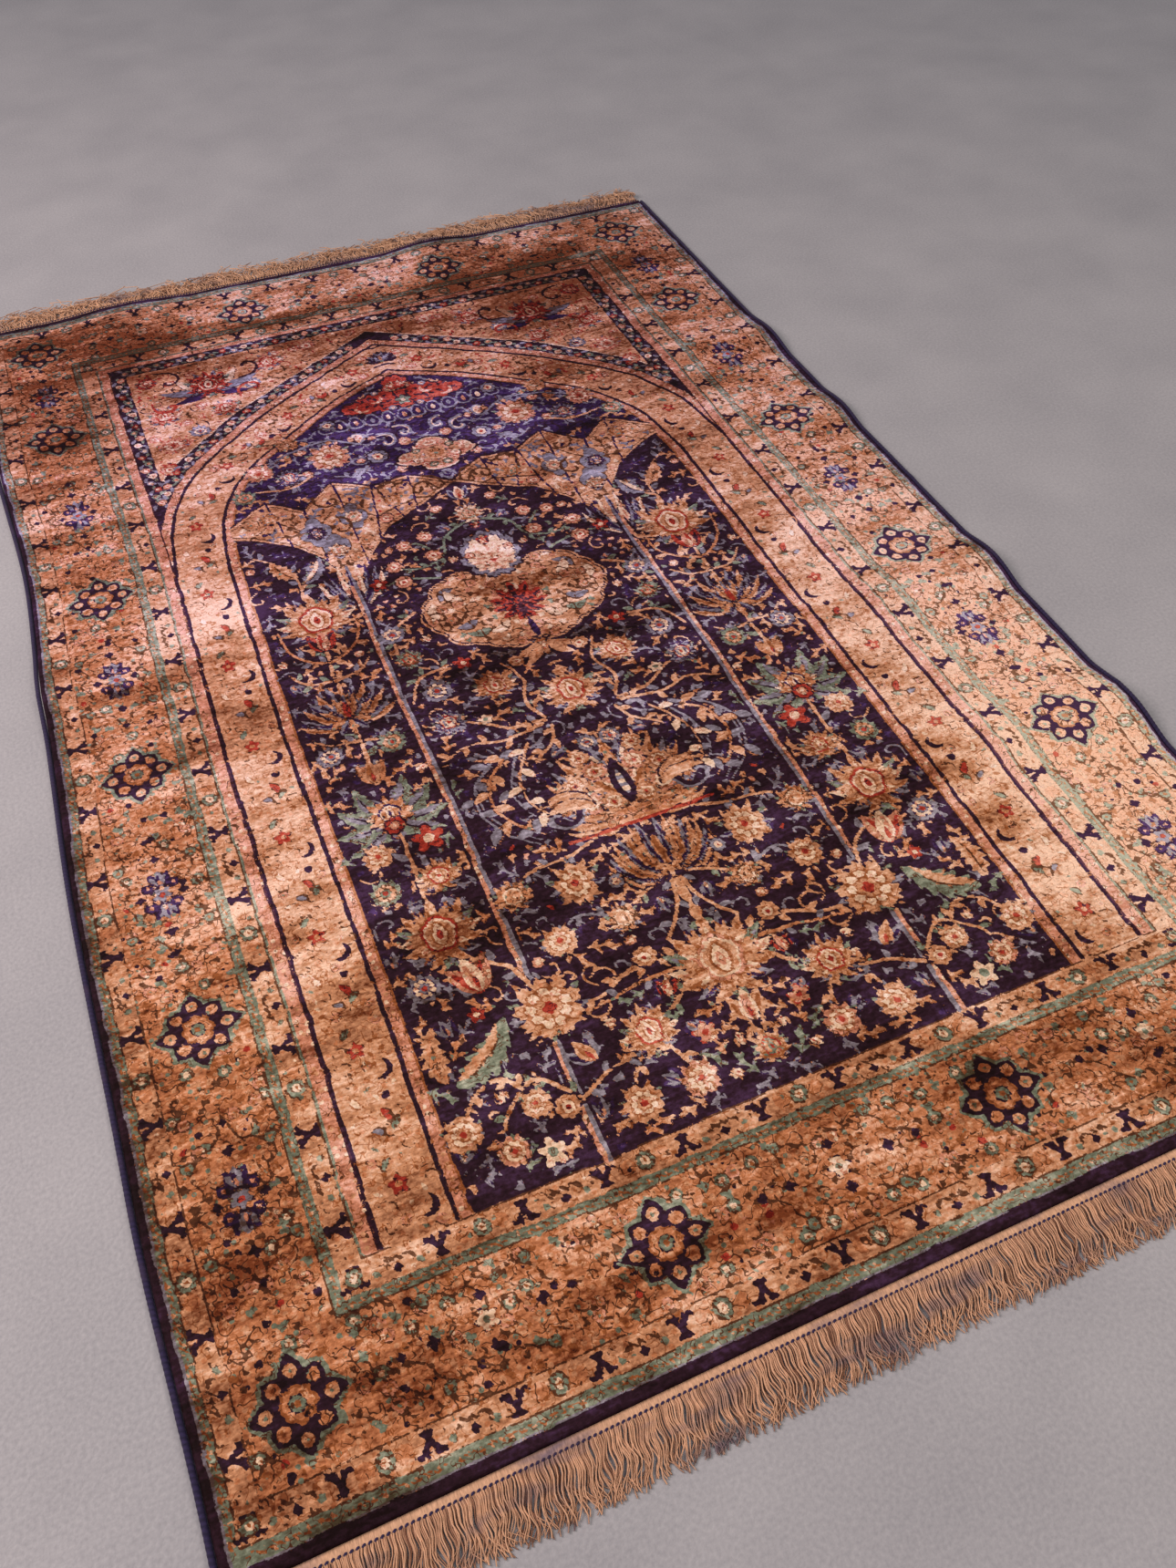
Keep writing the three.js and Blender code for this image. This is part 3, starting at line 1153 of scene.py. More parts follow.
    def fill_gold_band(self) -> None:
        """Draws the red stars, crescents and leaves that climb the gold band."""
        chart = self.chart
        middle = 0.5 * self.gold_band
        pitch = 72.0
        climb = self.along_arch(middle, pitch, 78)
        down = np.arange(climb[-1].v + pitch, 1690.0, pitch)
        column = [Spot(self.frame_u - 3 - middle, v, 90) for v in down]
        red_star = Dye(BROWN, RED, RED, RED, PEACH)
        for k, spot in enumerate([*climb, *column]):
            if k % 2 == 0:
                self.bloom(spot.go(0, -4, 36), 23, STAR, red_star)
                self.leaf(spot.go(-16, -14, 140), 15, 5.6, SAGE, BROWN, 0.1)
                self.crescent(spot.go(27, 13, 60), 12.5, NAVY)
                self.curl(spot.go(20, -18), 14, BROWN, 2)
                self.curl(spot.go(-10, 16, 80), 13, RUST, 2, -1)
            else:
                self.leaf(spot.go(-6, 0, 20), 20, 7, RED, BROWN, 0.15)
                self.leaf(spot.go(8, 16, -40), 15, 6, SAGE, BROWN, -0.1)
                self.leaf(spot.go(14, -12, 60), 14, 5.6, SLATE, BROWN, 0.1)
                self.leaf(spot.go(-14, -16, 200), 15, 5.6, CREAM, RUST, 0.1)
                chart.lobed(spot.go(-18, 10), 5, NAVY, LAYERS[BUD][0])
                self.curl(spot.go(22, 6, 30), 15, BROWN, 2, -1)
        for hand in (1, -1):
            self.curl(Spot(7, 322, 35 * hand), 32, NAVY, 5, hand)
        self.fan(Spot(0, 338, UP), 34, Dye(NAVY, NAVY, SLATE, SLATE, PEACH))
        seeds = (
            Seed(0.22, CURL, 12, RUST),
            Seed(0.22, CURL, 11, BROWN),
            Seed(0.20, LEAF, 11, PEACH),
            Seed(0.16, LEAF, 10, RUST),
            Seed(0.12, LEAF, 10, CREAM),
            Seed(0.09, LEAF, 9, SAGE),
            Seed(0.09, ROSETTE, 12, CLAY),
        )
        for box, tries in (((0, 400, 290, 760), 5200), ((334, 399, 700, 1700), 5200)):
            self.sow(Plot(box, GOLD, 4.6, tries, 33), seeds)


class Stem(NamedTuple):
    """A branch: the places it passes, its width, colour, leaf length and leaf colour."""

    points: Points
    width: float
    yarn: Yarn
    leaf: float
    leaves: Yarn


@dataclass
class Field(Drawing):
    """The dark field under the arch: hanging flowers, inner arches, urn and flowering branches.

    Places and sizes are millimetres on the chart.
    """

    half: float = 317.0
    column_u: float = 188.0
    near: float = 1702.5
    flowers: tuple[Flower, ...] = (
        Flower(145, 556, 74, PEONY, DAWN),
        Flower(80, 585, 38, ROSETTE, DUSK),
        Flower(249, 556, 50, PEONY, ROSE),
        Flower(212, 582, 44, PALMETTE, DUSK),
        Flower(196, 502, 40, PEONY, COPPER),
        Flower(128, 478, 30, ROSETTE, DUSK),
        Flower(282, 606, 40, PEONY, MOSS),
        Flower(0, 714, 34, TULIP, DUSK),
        Flower(0, 762, 50, PALMETTE, SNOW),
        Flower(72, 788, 25, ROSETTE, ROSE),
        Flower(104, 796, 24, ROSETTE, ROSE),
        Flower(72, 830, 27, ROSETTE, ROSE),
        Flower(128, 834, 27, ROSETTE, ROSE),
        Flower(125, 868, 29, ROSETTE, ROSE),
        Flower(158, 860, 29, STAR, EMBER),
        Flower(40, 738, 20, ROSETTE, ROSE),
        Flower(250, 890, 112, PALMETTE, GILT),
        Flower(252, 936, 40, TULIP, EMBER),
        Flower(168, 960, 40, PEONY, DUSK),
        Flower(160, 1010, 42, PALMETTE, MOSS),
        Flower(103, 1042, 28, STAR, EMBER),
        Flower(0, 1138, 84, PALMETTE, GILT),
        Flower(80, 1094, 62, PALMETTE, GILT),
        Flower(146, 1078, 46, PEONY, DUSK),
        Flower(150, 1134, 50, PALMETTE, DUSK),
        Flower(220, 1138, 42, PEONY, MOSS),
        Flower(292, 1132, 40, PEONY, DUSK),
        Flower(110, 1148, 22, STAR, SNOW),
        Flower(226, 1288, 46, STAR, EMBER),
        Flower(284, 1290, 42, PEONY, GILT),
        Flower(231, 1338, 54, PALMETTE, GILT),
        Flower(290, 1340, 42, PEONY, MOSS),
        Flower(253, 1408, 100, PALMETTE, GILT),
        Flower(167, 1396, 50, PALMETTE, COPPER),
        Flower(100, 1408, 70, PEONY, GILT, 0.8),
        Flower(142, 1468, 46, PEONY, GILT),
        Flower(71, 1466, 44, PALMETTE, COPPER),
        Flower(288, 1468, 42, PEONY, DUSK),
        Flower(60, 1422, 21, ROSETTE, DUSK),
        Flower(0, 1548, 124, PALMETTE, Dye(NAVY, GOLD, RUST, CREAM, SALMON)),
        Flower(180, 1536, 86, PEONY, GILT),
        Flower(100, 1597, 68, PALMETTE, GILT),
        Flower(70, 1520, 30, ROSETTE, GILT),
        Flower(249, 1516, 22, STAR, EMBER),
        Flower(228, 1626, 38, PEONY, GILT),
        Flower(202, 1640, 30, ROSETTE, GILT),
        Flower(264, 1662, 38, PEONY, DAWN),
        Flower(231, 1676, 36, STAR, SNOW),
        Flower(302, 1630, 46, PEONY, GILT),
        Flower(0, 1612, 40, TULIP, GILT),
        Flower(52, 1622, 26, STAR, FLAME),
        Flower(136, 1666, 50, PEONY, GILT),
        Flower(76, 1664, 46, PEONY, DAWN),
        Flower(0, 1660, 46, PALMETTE, Dye(NAVY, GOLD, RUST, SAGE, RED)),
    )
    stems: tuple[Stem, ...] = (
        Stem(((0, 1424), (3, 1480), (0, 1520)), 8, GOLD, 18, SAGE),
        Stem(((4, 1436), (14, 1476), (40, 1512)), 4.6, GOLD, 16, SLATE),
        Stem(((30, 1534), (84, 1528), (132, 1546), (176, 1536)), 5.4, GOLD, 17, GOLD),
        Stem(((28, 1544), (84, 1546), (140, 1556)), 4, PEACH, 15, SLATE),
        Stem(((182, 1536), (196, 1482), (232, 1452), (250, 1420)), 4.4, GOLD, 18, SLATE),
        Stem(((40, 1560), (66, 1584), (92, 1590)), 4.4, GOLD, 15, SAGE),
        Stem(((100, 1602), (128, 1632), (136, 1662)), 4.4, GOLD, 15, GOLD),
        Stem(((92, 1612), (80, 1640), (76, 1660)), 4.4, GOLD, 15, GOLD),
        Stem(((20, 1580), (10, 1620), (2, 1650)), 4.4, GOLD, 15, GOLD),
        Stem(((186, 1640), (214, 1606), (236, 1608), (262, 1636), (264, 1664)), 4.4, GOLD, 16, SAGE),
        Stem(((236, 1608), (250, 1590), (276, 1594), (302, 1622)), 4, GOLD, 15, GOLD),
        Stem(((186, 1640), (150, 1622), (112, 1616)), 4, GOLD, 15, SLATE),
        Stem(((254, 1360), (252, 1300), (254, 1250)), 5, GOLD, 20, SLATE),
        Stem(((254, 1160), (252, 1110), (254, 1080)), 5, GOLD, 20, SAGE),
        Stem(((252, 1120), (226, 1126), (206, 1112)), 4, GOLD, 15, SLATE),
        Stem(((252, 1120), (284, 1116), (304, 1100)), 4, GOLD, 15, SLATE),
        Stem(((254, 1000), (252, 960), (250, 930)), 5, GOLD, 18, SAGE),
        Stem(((252, 978), (276, 966), (296, 940), (302, 900)), 4, PEACH, 17, SLATE),
        Stem(((252, 978), (226, 966), (206, 940), (202, 900)), 4, PEACH, 17, GOLD),
        Stem(((254, 1010), (286, 1004), (306, 980)), 4, GOLD, 16, SAGE),
        Stem(((254, 1010), (222, 1004), (204, 986)), 4, GOLD, 16, SLATE),
        Stem(((256, 850), (254, 810), (270, 770), (300, 742)), 4, GOLD, 18, SLATE),
        Stem(((254, 830), (232, 806), (228, 780)), 4, GOLD, 16, SAGE),
        Stem(((46, 1170), (58, 1140), (46, 1100), (60, 1062)), 4.4, GOLD, 16, SLATE),
        Stem(((46, 1176), (90, 1170), (128, 1146), (170, 1140)), 4.4, GOLD, 17, SLATE),
        Stem(((50, 1180), (100, 1186), (140, 1178), (176, 1190)), 4, GOLD, 17, GOLD),
        Stem(((44, 1184), (70, 1206), (112, 1214), (150, 1208)), 4, SLATE, 17, SLATE),
        Stem(((40, 1186), (52, 1210), (80, 1232)), 4, GOLD, 16, GOLD),
        Stem(((116, 1206), (148, 1236), (158, 1274), (142, 1312), (112, 1340)), 3.4, SLATE, 26, PEACH),
        Stem(((124, 1208), (154, 1240), (163, 1276), (147, 1316), (116, 1346)), 3.4, SLATE, 24, SLATE),
        Stem(((104, 1204), (136, 1236), (146, 1274), (132, 1308), (104, 1334)), 3.4, PEACH, 24, GOLD),
        Stem(((86, 1198), (112, 1240), (118, 1282), (100, 1318)), 3.4, SLATE, 24, SLATE),
        Stem(((78, 1200), (102, 1240), (107, 1280), (92, 1312)), 3, GOLD, 22, CREAM),
        Stem(((64, 1362), (96, 1372), (140, 1376), (166, 1390)), 4, GOLD, 15, SLATE),
        Stem(((14, 1440), (44, 1450), (70, 1466)), 4, GOLD, 15, SAGE),
        Stem(((80, 1460), (116, 1448), (142, 1466)), 4, SLATE, 15, SLATE),
        Stem(((12, 780), (46, 800), (60, 836), (96, 850), (126, 836)), 4, SAGE, 15, SAGE),
        Stem(((60, 836), (84, 800), (104, 796)), 3.6, SAGE, 12, SLATE),
        Stem(((70, 880), (98, 870), (132, 862), (160, 872)), 4, SAGE, 16, SLATE),
        Stem(((130, 930), (160, 952), (170, 1000), (142, 1036), (98, 1042)), 4, GOLD, 17, SAGE),
        Stem(((120, 1040), (160, 1052), (178, 1090)), 4, GOLD, 16, SLATE),
        Stem(((96, 545), (140, 516), (196, 524), (250, 552)), 4, SLATE, 18, PEACH),
        Stem(((180, 590), (214, 608), (264, 600)), 4, GOLD, 18, SLATE),
        Stem(((100, 600), (122, 622), (150, 606)), 4, SLATE, 16, SLATE),
    )

    def paint(self) -> None:
        """Draws the whole field from the arch's point down."""
        self.ground()
        self.apex()
        self.canopy()
        for stem in self.stems:
            self.branch(*stem)
        self.hanging_medallion()
        self.urn()
        self.side_bouquets()
        self.plant(self.flowers)
        self.fill()

    def ground(self) -> None:
        """Sows leafy sprays over the dark ground, for the flowers to lie on."""
        seeds = (
            Seed(0.18, SPRAY, 34, SLATE),
            Seed(0.26, SPRAY, 34, GOLD),
            Seed(0.10, SPRAY, 32, INDIGO),
            Seed(0.08, SPRAY, 32, SAGE),
            Seed(0.16, SPRAY, 32, PEACH),
            Seed(0.10, CURL, 18, GOLD),
            Seed(0.06, CURL, 18, SLATE),
            Seed(0.06, TULIP, 24, IRIS),
        )
        self.sow(Plot((0, 310, 690, 1696), NAVY, 9, 4400, 70), seeds)
        seeds = (
            Seed(0.34, SPRAY, 30, SLATE),
            Seed(0.12, CURL, 20, SLATE),
            Seed(0.20, SPRAY, 30, NAVY),
            Seed(0.12, SPRAY, 26, GOLD),
            Seed(0.12, CURL, 22, NAVY),
            Seed(0.10, ROSETTE, 22, ROSE),
        )
        self.sow(Plot((0, 310, 375, 690), INDIGO, 5, 8000, 72), seeds)

    def apex(self) -> None:
        """Draws the red canopy under the point of the arch, its row of buds and the lozenge."""
        chart = self.chart
        canopy = ((0, 404, 22), (0, 440, 40), (34, 448, 30), (60, 450, 24), (82, 452, 15))
        for yarn, grow in ((NAVY, 4), (RED, 0)):
            for u, v, radius in canopy:
                chart.lobed(Spot(u, v, 90), radius + grow, yarn, Layer(Part.RIM, 1, 7, 0.22, 0.8, 0.12))
        self.fan(Spot(0, 424, UP), 30, ROSE)
        self.bloom(Spot(0, 456, UP), 30, STAR, Dye(WINE, SAGE, RED, CREAM, CREAM))
        for u, v, turn in ((40, 440, 130), (66, 456, 50)):
            self.crescent(Spot(u, v, turn), 12, SALMON)
        for u, v in ((22, 472), (38, 422)):
            self.bloom(Spot(u, v), 15, ROSETTE, DUSK)
        self.sow(Plot((0, 96, 386, 480), RED, 3.6, 900, 63), (Seed(1, PAIR, 13, WINE),))
        for k, u in enumerate((10, 36, 61, 85, 109, 132)):
            bud = Spot(u, 494 - 0.06 * u, UP)
            self.bloom(bud, 34, BUD, Dye(SLATE, INDIGO, NAVY, NAVY, INDIGO), 0.74)
            chart.leaf(bud.go(-7), 15, 7, (SALMON, CREAM, SLATE)[k % 3])
        for u, v, size, hand in ((60, 556, 26, 1), (100, 524, 22, -1), (30, 540, 22, 1)):
            self.curl(Spot(u, v, 30 * hand), size, SLATE, 5.4, hand)
            self.curl(Spot(u, v, 40 * hand), size * 0.9, CREAM, 2.4, hand)
        lozenge = Spot(0, 613, 90)
        diamond = Layer(Part.RIM, 1, 4, 0.30, 1.2, 0.08)
        for yarn, radius in ((NAVY, 58), (CREAM, 54), (SALMON, 51)):
            chart.lobed(lozenge, radius * 0.86, yarn, diamond, 1.3)
        for k in range(14):
            petal = lozenge.facing(360 / 14 * k).go(30, 3)
            self.bloom(petal, 16, ROSETTE, (FLAME, GUARD, LACE, SNOW)[k % 4])
        self.bloom(lozenge, 44, PEONY, LACE)
        seeds = (
            Seed(0.4, PAIR, 11, BROWN),
            Seed(0.4, PAIR, 11, CREAM),
            Seed(0.2, LEAF, 9, RED),
        )
        self.sow(Plot((0, 66, 560, 668), SALMON, 2.4, 1600, 62), seeds)

    def canopy(self) -> None:
        """Draws the gold zigzag panels, the three inner arches and the slim columns."""
        chart = self.chart
        zigzag = ((0, 682), (56, 646), (108, 652), (160, 617), (212, 666), (259, 627), (320, 668))
        centre = ((0, 690), (55, 722), (111, 750), (145, 794), (170, 838), (188, 890))
        side = ((188, 890), (196, 822), (210, 782), (240, 743), (291, 706), (330, 690))
        u, v = chart.us[None, :], chart.vs[:, None]
        top = np.interp(chart.us, *np.array(zigzag).T)[None, :]
        low = np.interp(chart.us, *np.array((*centre, *side[1:])).T)[None, :]
        inside = (u < self.half) & (v > top) & (v < low)
        chart.ink[inside] = NAVY
        chart.ink[inside & (v > top + 4) & (v < low - 3.2)] = GOLD
        chart.ink[inside & (v > low - 10) & (v < low - 7.4)] = BROWN
        chart.ink[inside & (v > top + 8) & (v < top + 10.4)] = BROWN
        ridge = np.interp(chart.us, (0, 56, 120, 160, 212, 259, 320), (720, 700, 720, 668, 720, 676, 720))
        line = inside & (np.abs(v - ridge[None, :]) < 1.6)
        chart.ink[line] = BROWN
        for a, b in (((54, 646), (62, 726)), ((108, 652), (84, 738)), ((110, 652), (128, 770)),
                     ((160, 617), (156, 812)), ((212, 666), (206, 786)), ((259, 627), (244, 742))):
            chart.stroke([a, b], 2.8, INDIGO)
        for pu, pv, size in ((188, 760, 30), (208, 720, 34), (150, 706, 30)):
            chart.lobed(Spot(pu, pv, UP), size, BROWN, Layer(Part.RIM, 1, 4, 0.3, 1), 0.7)
            chart.lobed(Spot(pu, pv, UP), size - 2.4, SLATE, Layer(Part.RIM, 1, 4, 0.3, 1), 0.7)
        panel_flowers = (
            Flower(208, 720, 36, PALMETTE, IRIS),
            Flower(150, 706, 32, PEONY, SNOW),
            Flower(188, 768, 34, PALMETTE, SNOW),
            Flower(88, 694, 34, PALMETTE, LACE),
            Flower(262, 668, 32, PALMETTE, LACE),
            Flower(110, 728, 24, ROSETTE, ROSE),
        )
        self.plant(panel_flowers)
        self.ring(Spot(self.column_u, 896, UP), 104, 9, 30, 0.11, (NAVY, SLATE, CREAM, INDIGO))
        large = (
            Seed(0.26, CURL, 26, BROWN),
            Seed(0.20, SPRAY, 34, BROWN),
            Seed(0.20, SPRAY, 32, SLATE),
            Seed(0.18, SPRAY, 32, CREAM),
            Seed(0.16, ROSETTE, 24, LACE),
        )
        self.sow(Plot((0, 314, 618, 880), GOLD, 6, 2600, 50), large)
        seeds = (
            Seed(0.26, PAIR, 13, BROWN),
            Seed(0.16, PAIR, 13, SALMON),
            Seed(0.16, PAIR, 13, CREAM),
            Seed(0.22, PAIR, 13, SLATE),
            Seed(0.14, PAIR, 13, INDIGO),
            Seed(0.06, LEAF, 10, RED),
        )
        self.sow(Plot((0, 314, 618, 880), GOLD, 2.6, 8000, 51), seeds)
        chart.band(self.column_u - 8, self.column_u + 8, 860, self.near, NAVY)
        for hand, yarn in ((-1, SLATE), (1, SALMON)):
            run = [(self.column_u + 2.6 * hand, w) for w in np.linspace(850, self.near, 12)]
            chart.stroke(run, 4.6, yarn)

    def hanging_medallion(self) -> None:
        """Draws the heart-shaped medallion hung under the middle arch, with its pale palmette."""
        chart = self.chart
        lobes = ((0, 948, 62), (56, 934, 52), (82, 950, 40), (60, 972, 48), (24, 996, 44))
        scallop = Layer(Part.RIM, 1, 8, 0.08, 0.7)
        for yarn, grow in ((NAVY, 10), (GOLD, 5), (NAVY, 2.4), (GOLD, 0)):
            for u, v, radius in lobes:
                chart.lobed(Spot(u, v), radius + grow, yarn, scallop)
        seeds = (
            Seed(0.18, PAIR, 14, SALMON),
            Seed(0.26, PAIR, 14, BROWN),
            Seed(0.22, PAIR, 14, CREAM),
            Seed(0.12, PAIR, 13, RUST),
            Seed(0.12, PAIR, 14, SAGE),
            Seed(0.10, ROSETTE, 17, CLAY),
        )
        whorl = (
            (24, 992, 20, CREAM),
            (50, 998, -10, SAGE),
            (84, 984, -50, GOLD),
            (104, 956, -95, CREAM),
            (92, 924, -140, SLATE),
            (64, 906, 170, GOLD),
            (54, 950, -20, GOLD),
            (66, 932, -60, CREAM),
            (60, 974, 10, SLATE),
            (20, 1020, -15, GOLD),
        )
        for u, v, turn, yarn in whorl:
            self.leaf(Spot(u, v, turn), 32, 13, yarn, BROWN, 0.16)
            self.curl(Spot(u, v, turn + 150), 15, BROWN, 2.6)
        self.sow(Plot((0, 124, 880, 1042), GOLD, 3, 3000, 61), seeds)
        ruby = Dye(WINE, RED, WINE, RED, WINE)
        self.ring(Spot(0, 964, UP), 44, 11, 158, 0.40, (WINE, RED))
        self.ring(Spot(0, 964, UP), 27, 9, 150, 0.44, (WINE, RED))
        self.bloom(Spot(0, 962, UP), 15, BUD, ruby)
        chart.leaf(Spot(0, 1036, UP), 44, 9, INDIGO)
        shield = Layer(Part.RIM, 1, 11, 0.16, 0.8, 0.10)
        for yarn, radius in ((NAVY, 56), (SLATE, 52), (INDIGO, 44), (CREAM, 41)):
            chart.lobed(Spot(0, 856, UP), radius, yarn, shield, 0.84)
        self.ring(Spot(0, 868, UP), 38, 11, 150, 0.26, (SALMON, CREAM))
        self.ring(Spot(0, 872, UP), 22, 7, 110, 0.30, (RED, CREAM))
        self.bloom(Spot(27, 850), 16, ROSETTE, ROSE)
        self.tulip(Spot(0, 836, UP), 18, EMBER)
        self.tulip(Spot(0, 800, UP), 16, EMBER)
        chart.leaf(Spot(0, 1034, 90), 36, 30, GOLD)
        self.bloom(Spot(0, 1052, 90), 34, PALMETTE, GILT)
        for k in (20, 50):
            self.leaf(Spot(6, 1046, k), 44, 13, GOLD, NAVY, 0.12)
        self.bloom(Spot(42, 1066), 24, ROSETTE, GILT)

    def urn(self) -> None:
        """Draws the urn: a fluted bowl under its red rim, and the great palmette that it holds."""
        chart = self.chart
        foot = Spot(0, 1440, UP)
        self.ring(foot, 94, 17, 52, 0.13, (NAVY, GOLD, SLATE, PEACH))
        chart.band(0, 94, 1330, 1354, NAVY)
        self.ring(Spot(0, 1346, UP), 74, 7, 68, 0.36, (BROWN, PEACH, GOLD))
        heart = Spot(0, 1322, UP)
        self.ring(heart, 112, 19, 100, 0.18, (NAVY, GOLD, SLATE, PEACH))
        self.ring(heart, 88, 13, 90, 0.22, (BROWN, PEACH, CREAM, GOLD))
        heap = (
            (14, 1226, 30, DUSK),
            (34, 1246, 32, GILT),
            (24, 1272, 36, DAWN),
            (52, 1284, 38, GILT),
            (76, 1306, 34, COPPER),
            (44, 1314, 38, DAWN),
            (20, 1322, 34, GILT),
        )
        for u, v, size, dye in heap:
            self.bloom(Spot(u, v, UP + u), size, PEONY, dye)
        for hand in (-1, 1):
            self.curl(Spot(84, 1316, -60), 30 + 3 * hand, (NAVY, SLATE)[hand > 0], 6 - 2 * hand, 1)
        chart.leaf(heart.go(-8), 74, 24, NAVY)
        chart.leaf(heart.go(2), 46, 9, SLATE)
        for k in range(3):
            chart.lobed(heart.go(12 + 12 * k), 4.4 - 0.8 * k, CREAM, DISC)
        for k in (62, 84):
            self.leaf(Spot(40, 1318, UP + k), 58, 15, GOLD, NAVY, -0.16)
        chart.band(0, 40, 1336, 1354, PEACH)
        for u in (8, 22, 34):
            self.bloom(Spot(u, 1345), 11, ROSETTE, CLAY)
        chart.band(0, 88, 1354.2, 1358.3, RED)
        self.bloom(Spot(0, 1372, 90), 16, BUD, INK)
        self.ring(Spot(0, 1424, 90), 20, 5, 80, 0.4, (NAVY, GOLD))

    def side_bouquets(self) -> None:
        """Draws the fans, vases and toothed leaves of the side aisles."""
        self.fan(Spot(253, 1084, UP), 76, Dye(NAVY, GOLD, NAVY, SLATE, RED))
        self.ring(Spot(253, 1080, 90), 34, 5, 70, 0.34, (NAVY, PEACH, SLATE))
        for hand in (-1, 1):
            for k in (26, 58, 92, 122):
                dye = Dye(NAVY, SAGE, NAVY, SLATE, RED)
                self.saz(Spot(255, 1246, UP + hand * k), 66, dye, 0.1 * hand)
        self.palmette(Spot(255, 1236, UP), 62, Dye(BROWN, PEACH, RUST, CREAM, INDIGO))
        self.tulip(Spot(255, 1190, UP), 36, Dye(BROWN, PEACH, RUST, GOLD, RED))
        self.bloom(Spot(255, 1256), 28, ROSETTE, EMBER)
        self.saz(Spot(292, 1584, -140), 92, MOSS, -0.1)
        self.saz(Spot(300, 1576, -95), 66, HONEY, 0.1)
        self.tulip(Spot(234, 1494, -80), 48, FLAME)
        self.tulip(Spot(66, 1572, -100), 22, EMBER)
        self.tulip(Spot(158, 1608, -60), 34, Dye(NAVY, SLATE, NAVY, GOLD, RED))
        self.saz(Spot(252, 806, -60), 60, HONEY, 0.1)
        self.saz(Spot(244, 820, -120), 56, DUSK, -0.1)

    def fill(self) -> None:
        """Fills what is left of the dark ground with small leaves and tendrils."""
        seeds = (
            Seed(0.30, PAIR, 15, SLATE),
            Seed(0.10, PAIR, 14, GOLD),
            Seed(0.10, PAIR, 14, INDIGO),
            Seed(0.08, PAIR, 13, SAGE),
            Seed(0.08, PAIR, 13, PEACH),
            Seed(0.14, TULIP, 16, GILT),
            Seed(0.16, ROSETTE, 16, DAWN),
            Seed(0.05, LEAF, 11, RED),
            Seed(0.05, CURL, 10, SLATE),
        )
        self.sow(Plot((0, 312, 690, 1698), NAVY, 6, 5600, 71), seeds)
        seeds = (
            Seed(0.46, PAIR, 12, SLATE),
            Seed(0.24, PAIR, 12, INDIGO),
            Seed(0.16, PAIR, 12, PEACH),
            Seed(0.14, PAIR, 12, SALMON),
        )
        self.sow(Plot((0, 312, 870, 1410), NAVY, 4.2, 4200, 72), seeds)
        seeds = (
            Seed(0.34, PAIR, 13, NAVY),
            Seed(0.30, PAIR, 13, SLATE),
            Seed(0.12, LEAF, 11, CREAM),
            Seed(0.14, PAIR, 12, SALMON),
            Seed(0.10, ROSETTE, 14, ROSE),
        )
        self.sow(Plot((0, 312, 372, 690), INDIGO, 3.4, 8000, 73), seeds)


class Ripple(NamedTuple):
    """A soft crest: its middle, its way in degrees from +X, half-length, half-width and height."""

    x: float
    y: float
    turn: float
    reach: float
    spread: float
    height: float


class Sway(NamedTuple):
    """Outward shift of the two long edges at one place along the rug."""

    y: float
    left: float
    right: float


def swell(t: np.ndarray) -> np.ndarray:
    """A smooth bump: 1 in the middle, 0 with a level start at a distance of 1 or more."""
    return np.maximum(0.0, 1.0 - t * t) ** 2


def smooth(t: np.ndarray) -> np.ndarray:
    """An eased step from 0 to 1."""
    clipped = np.clip(t, 0.0, 1.0)
    return clipped * clipped * (3.0 - 2.0 * clipped)


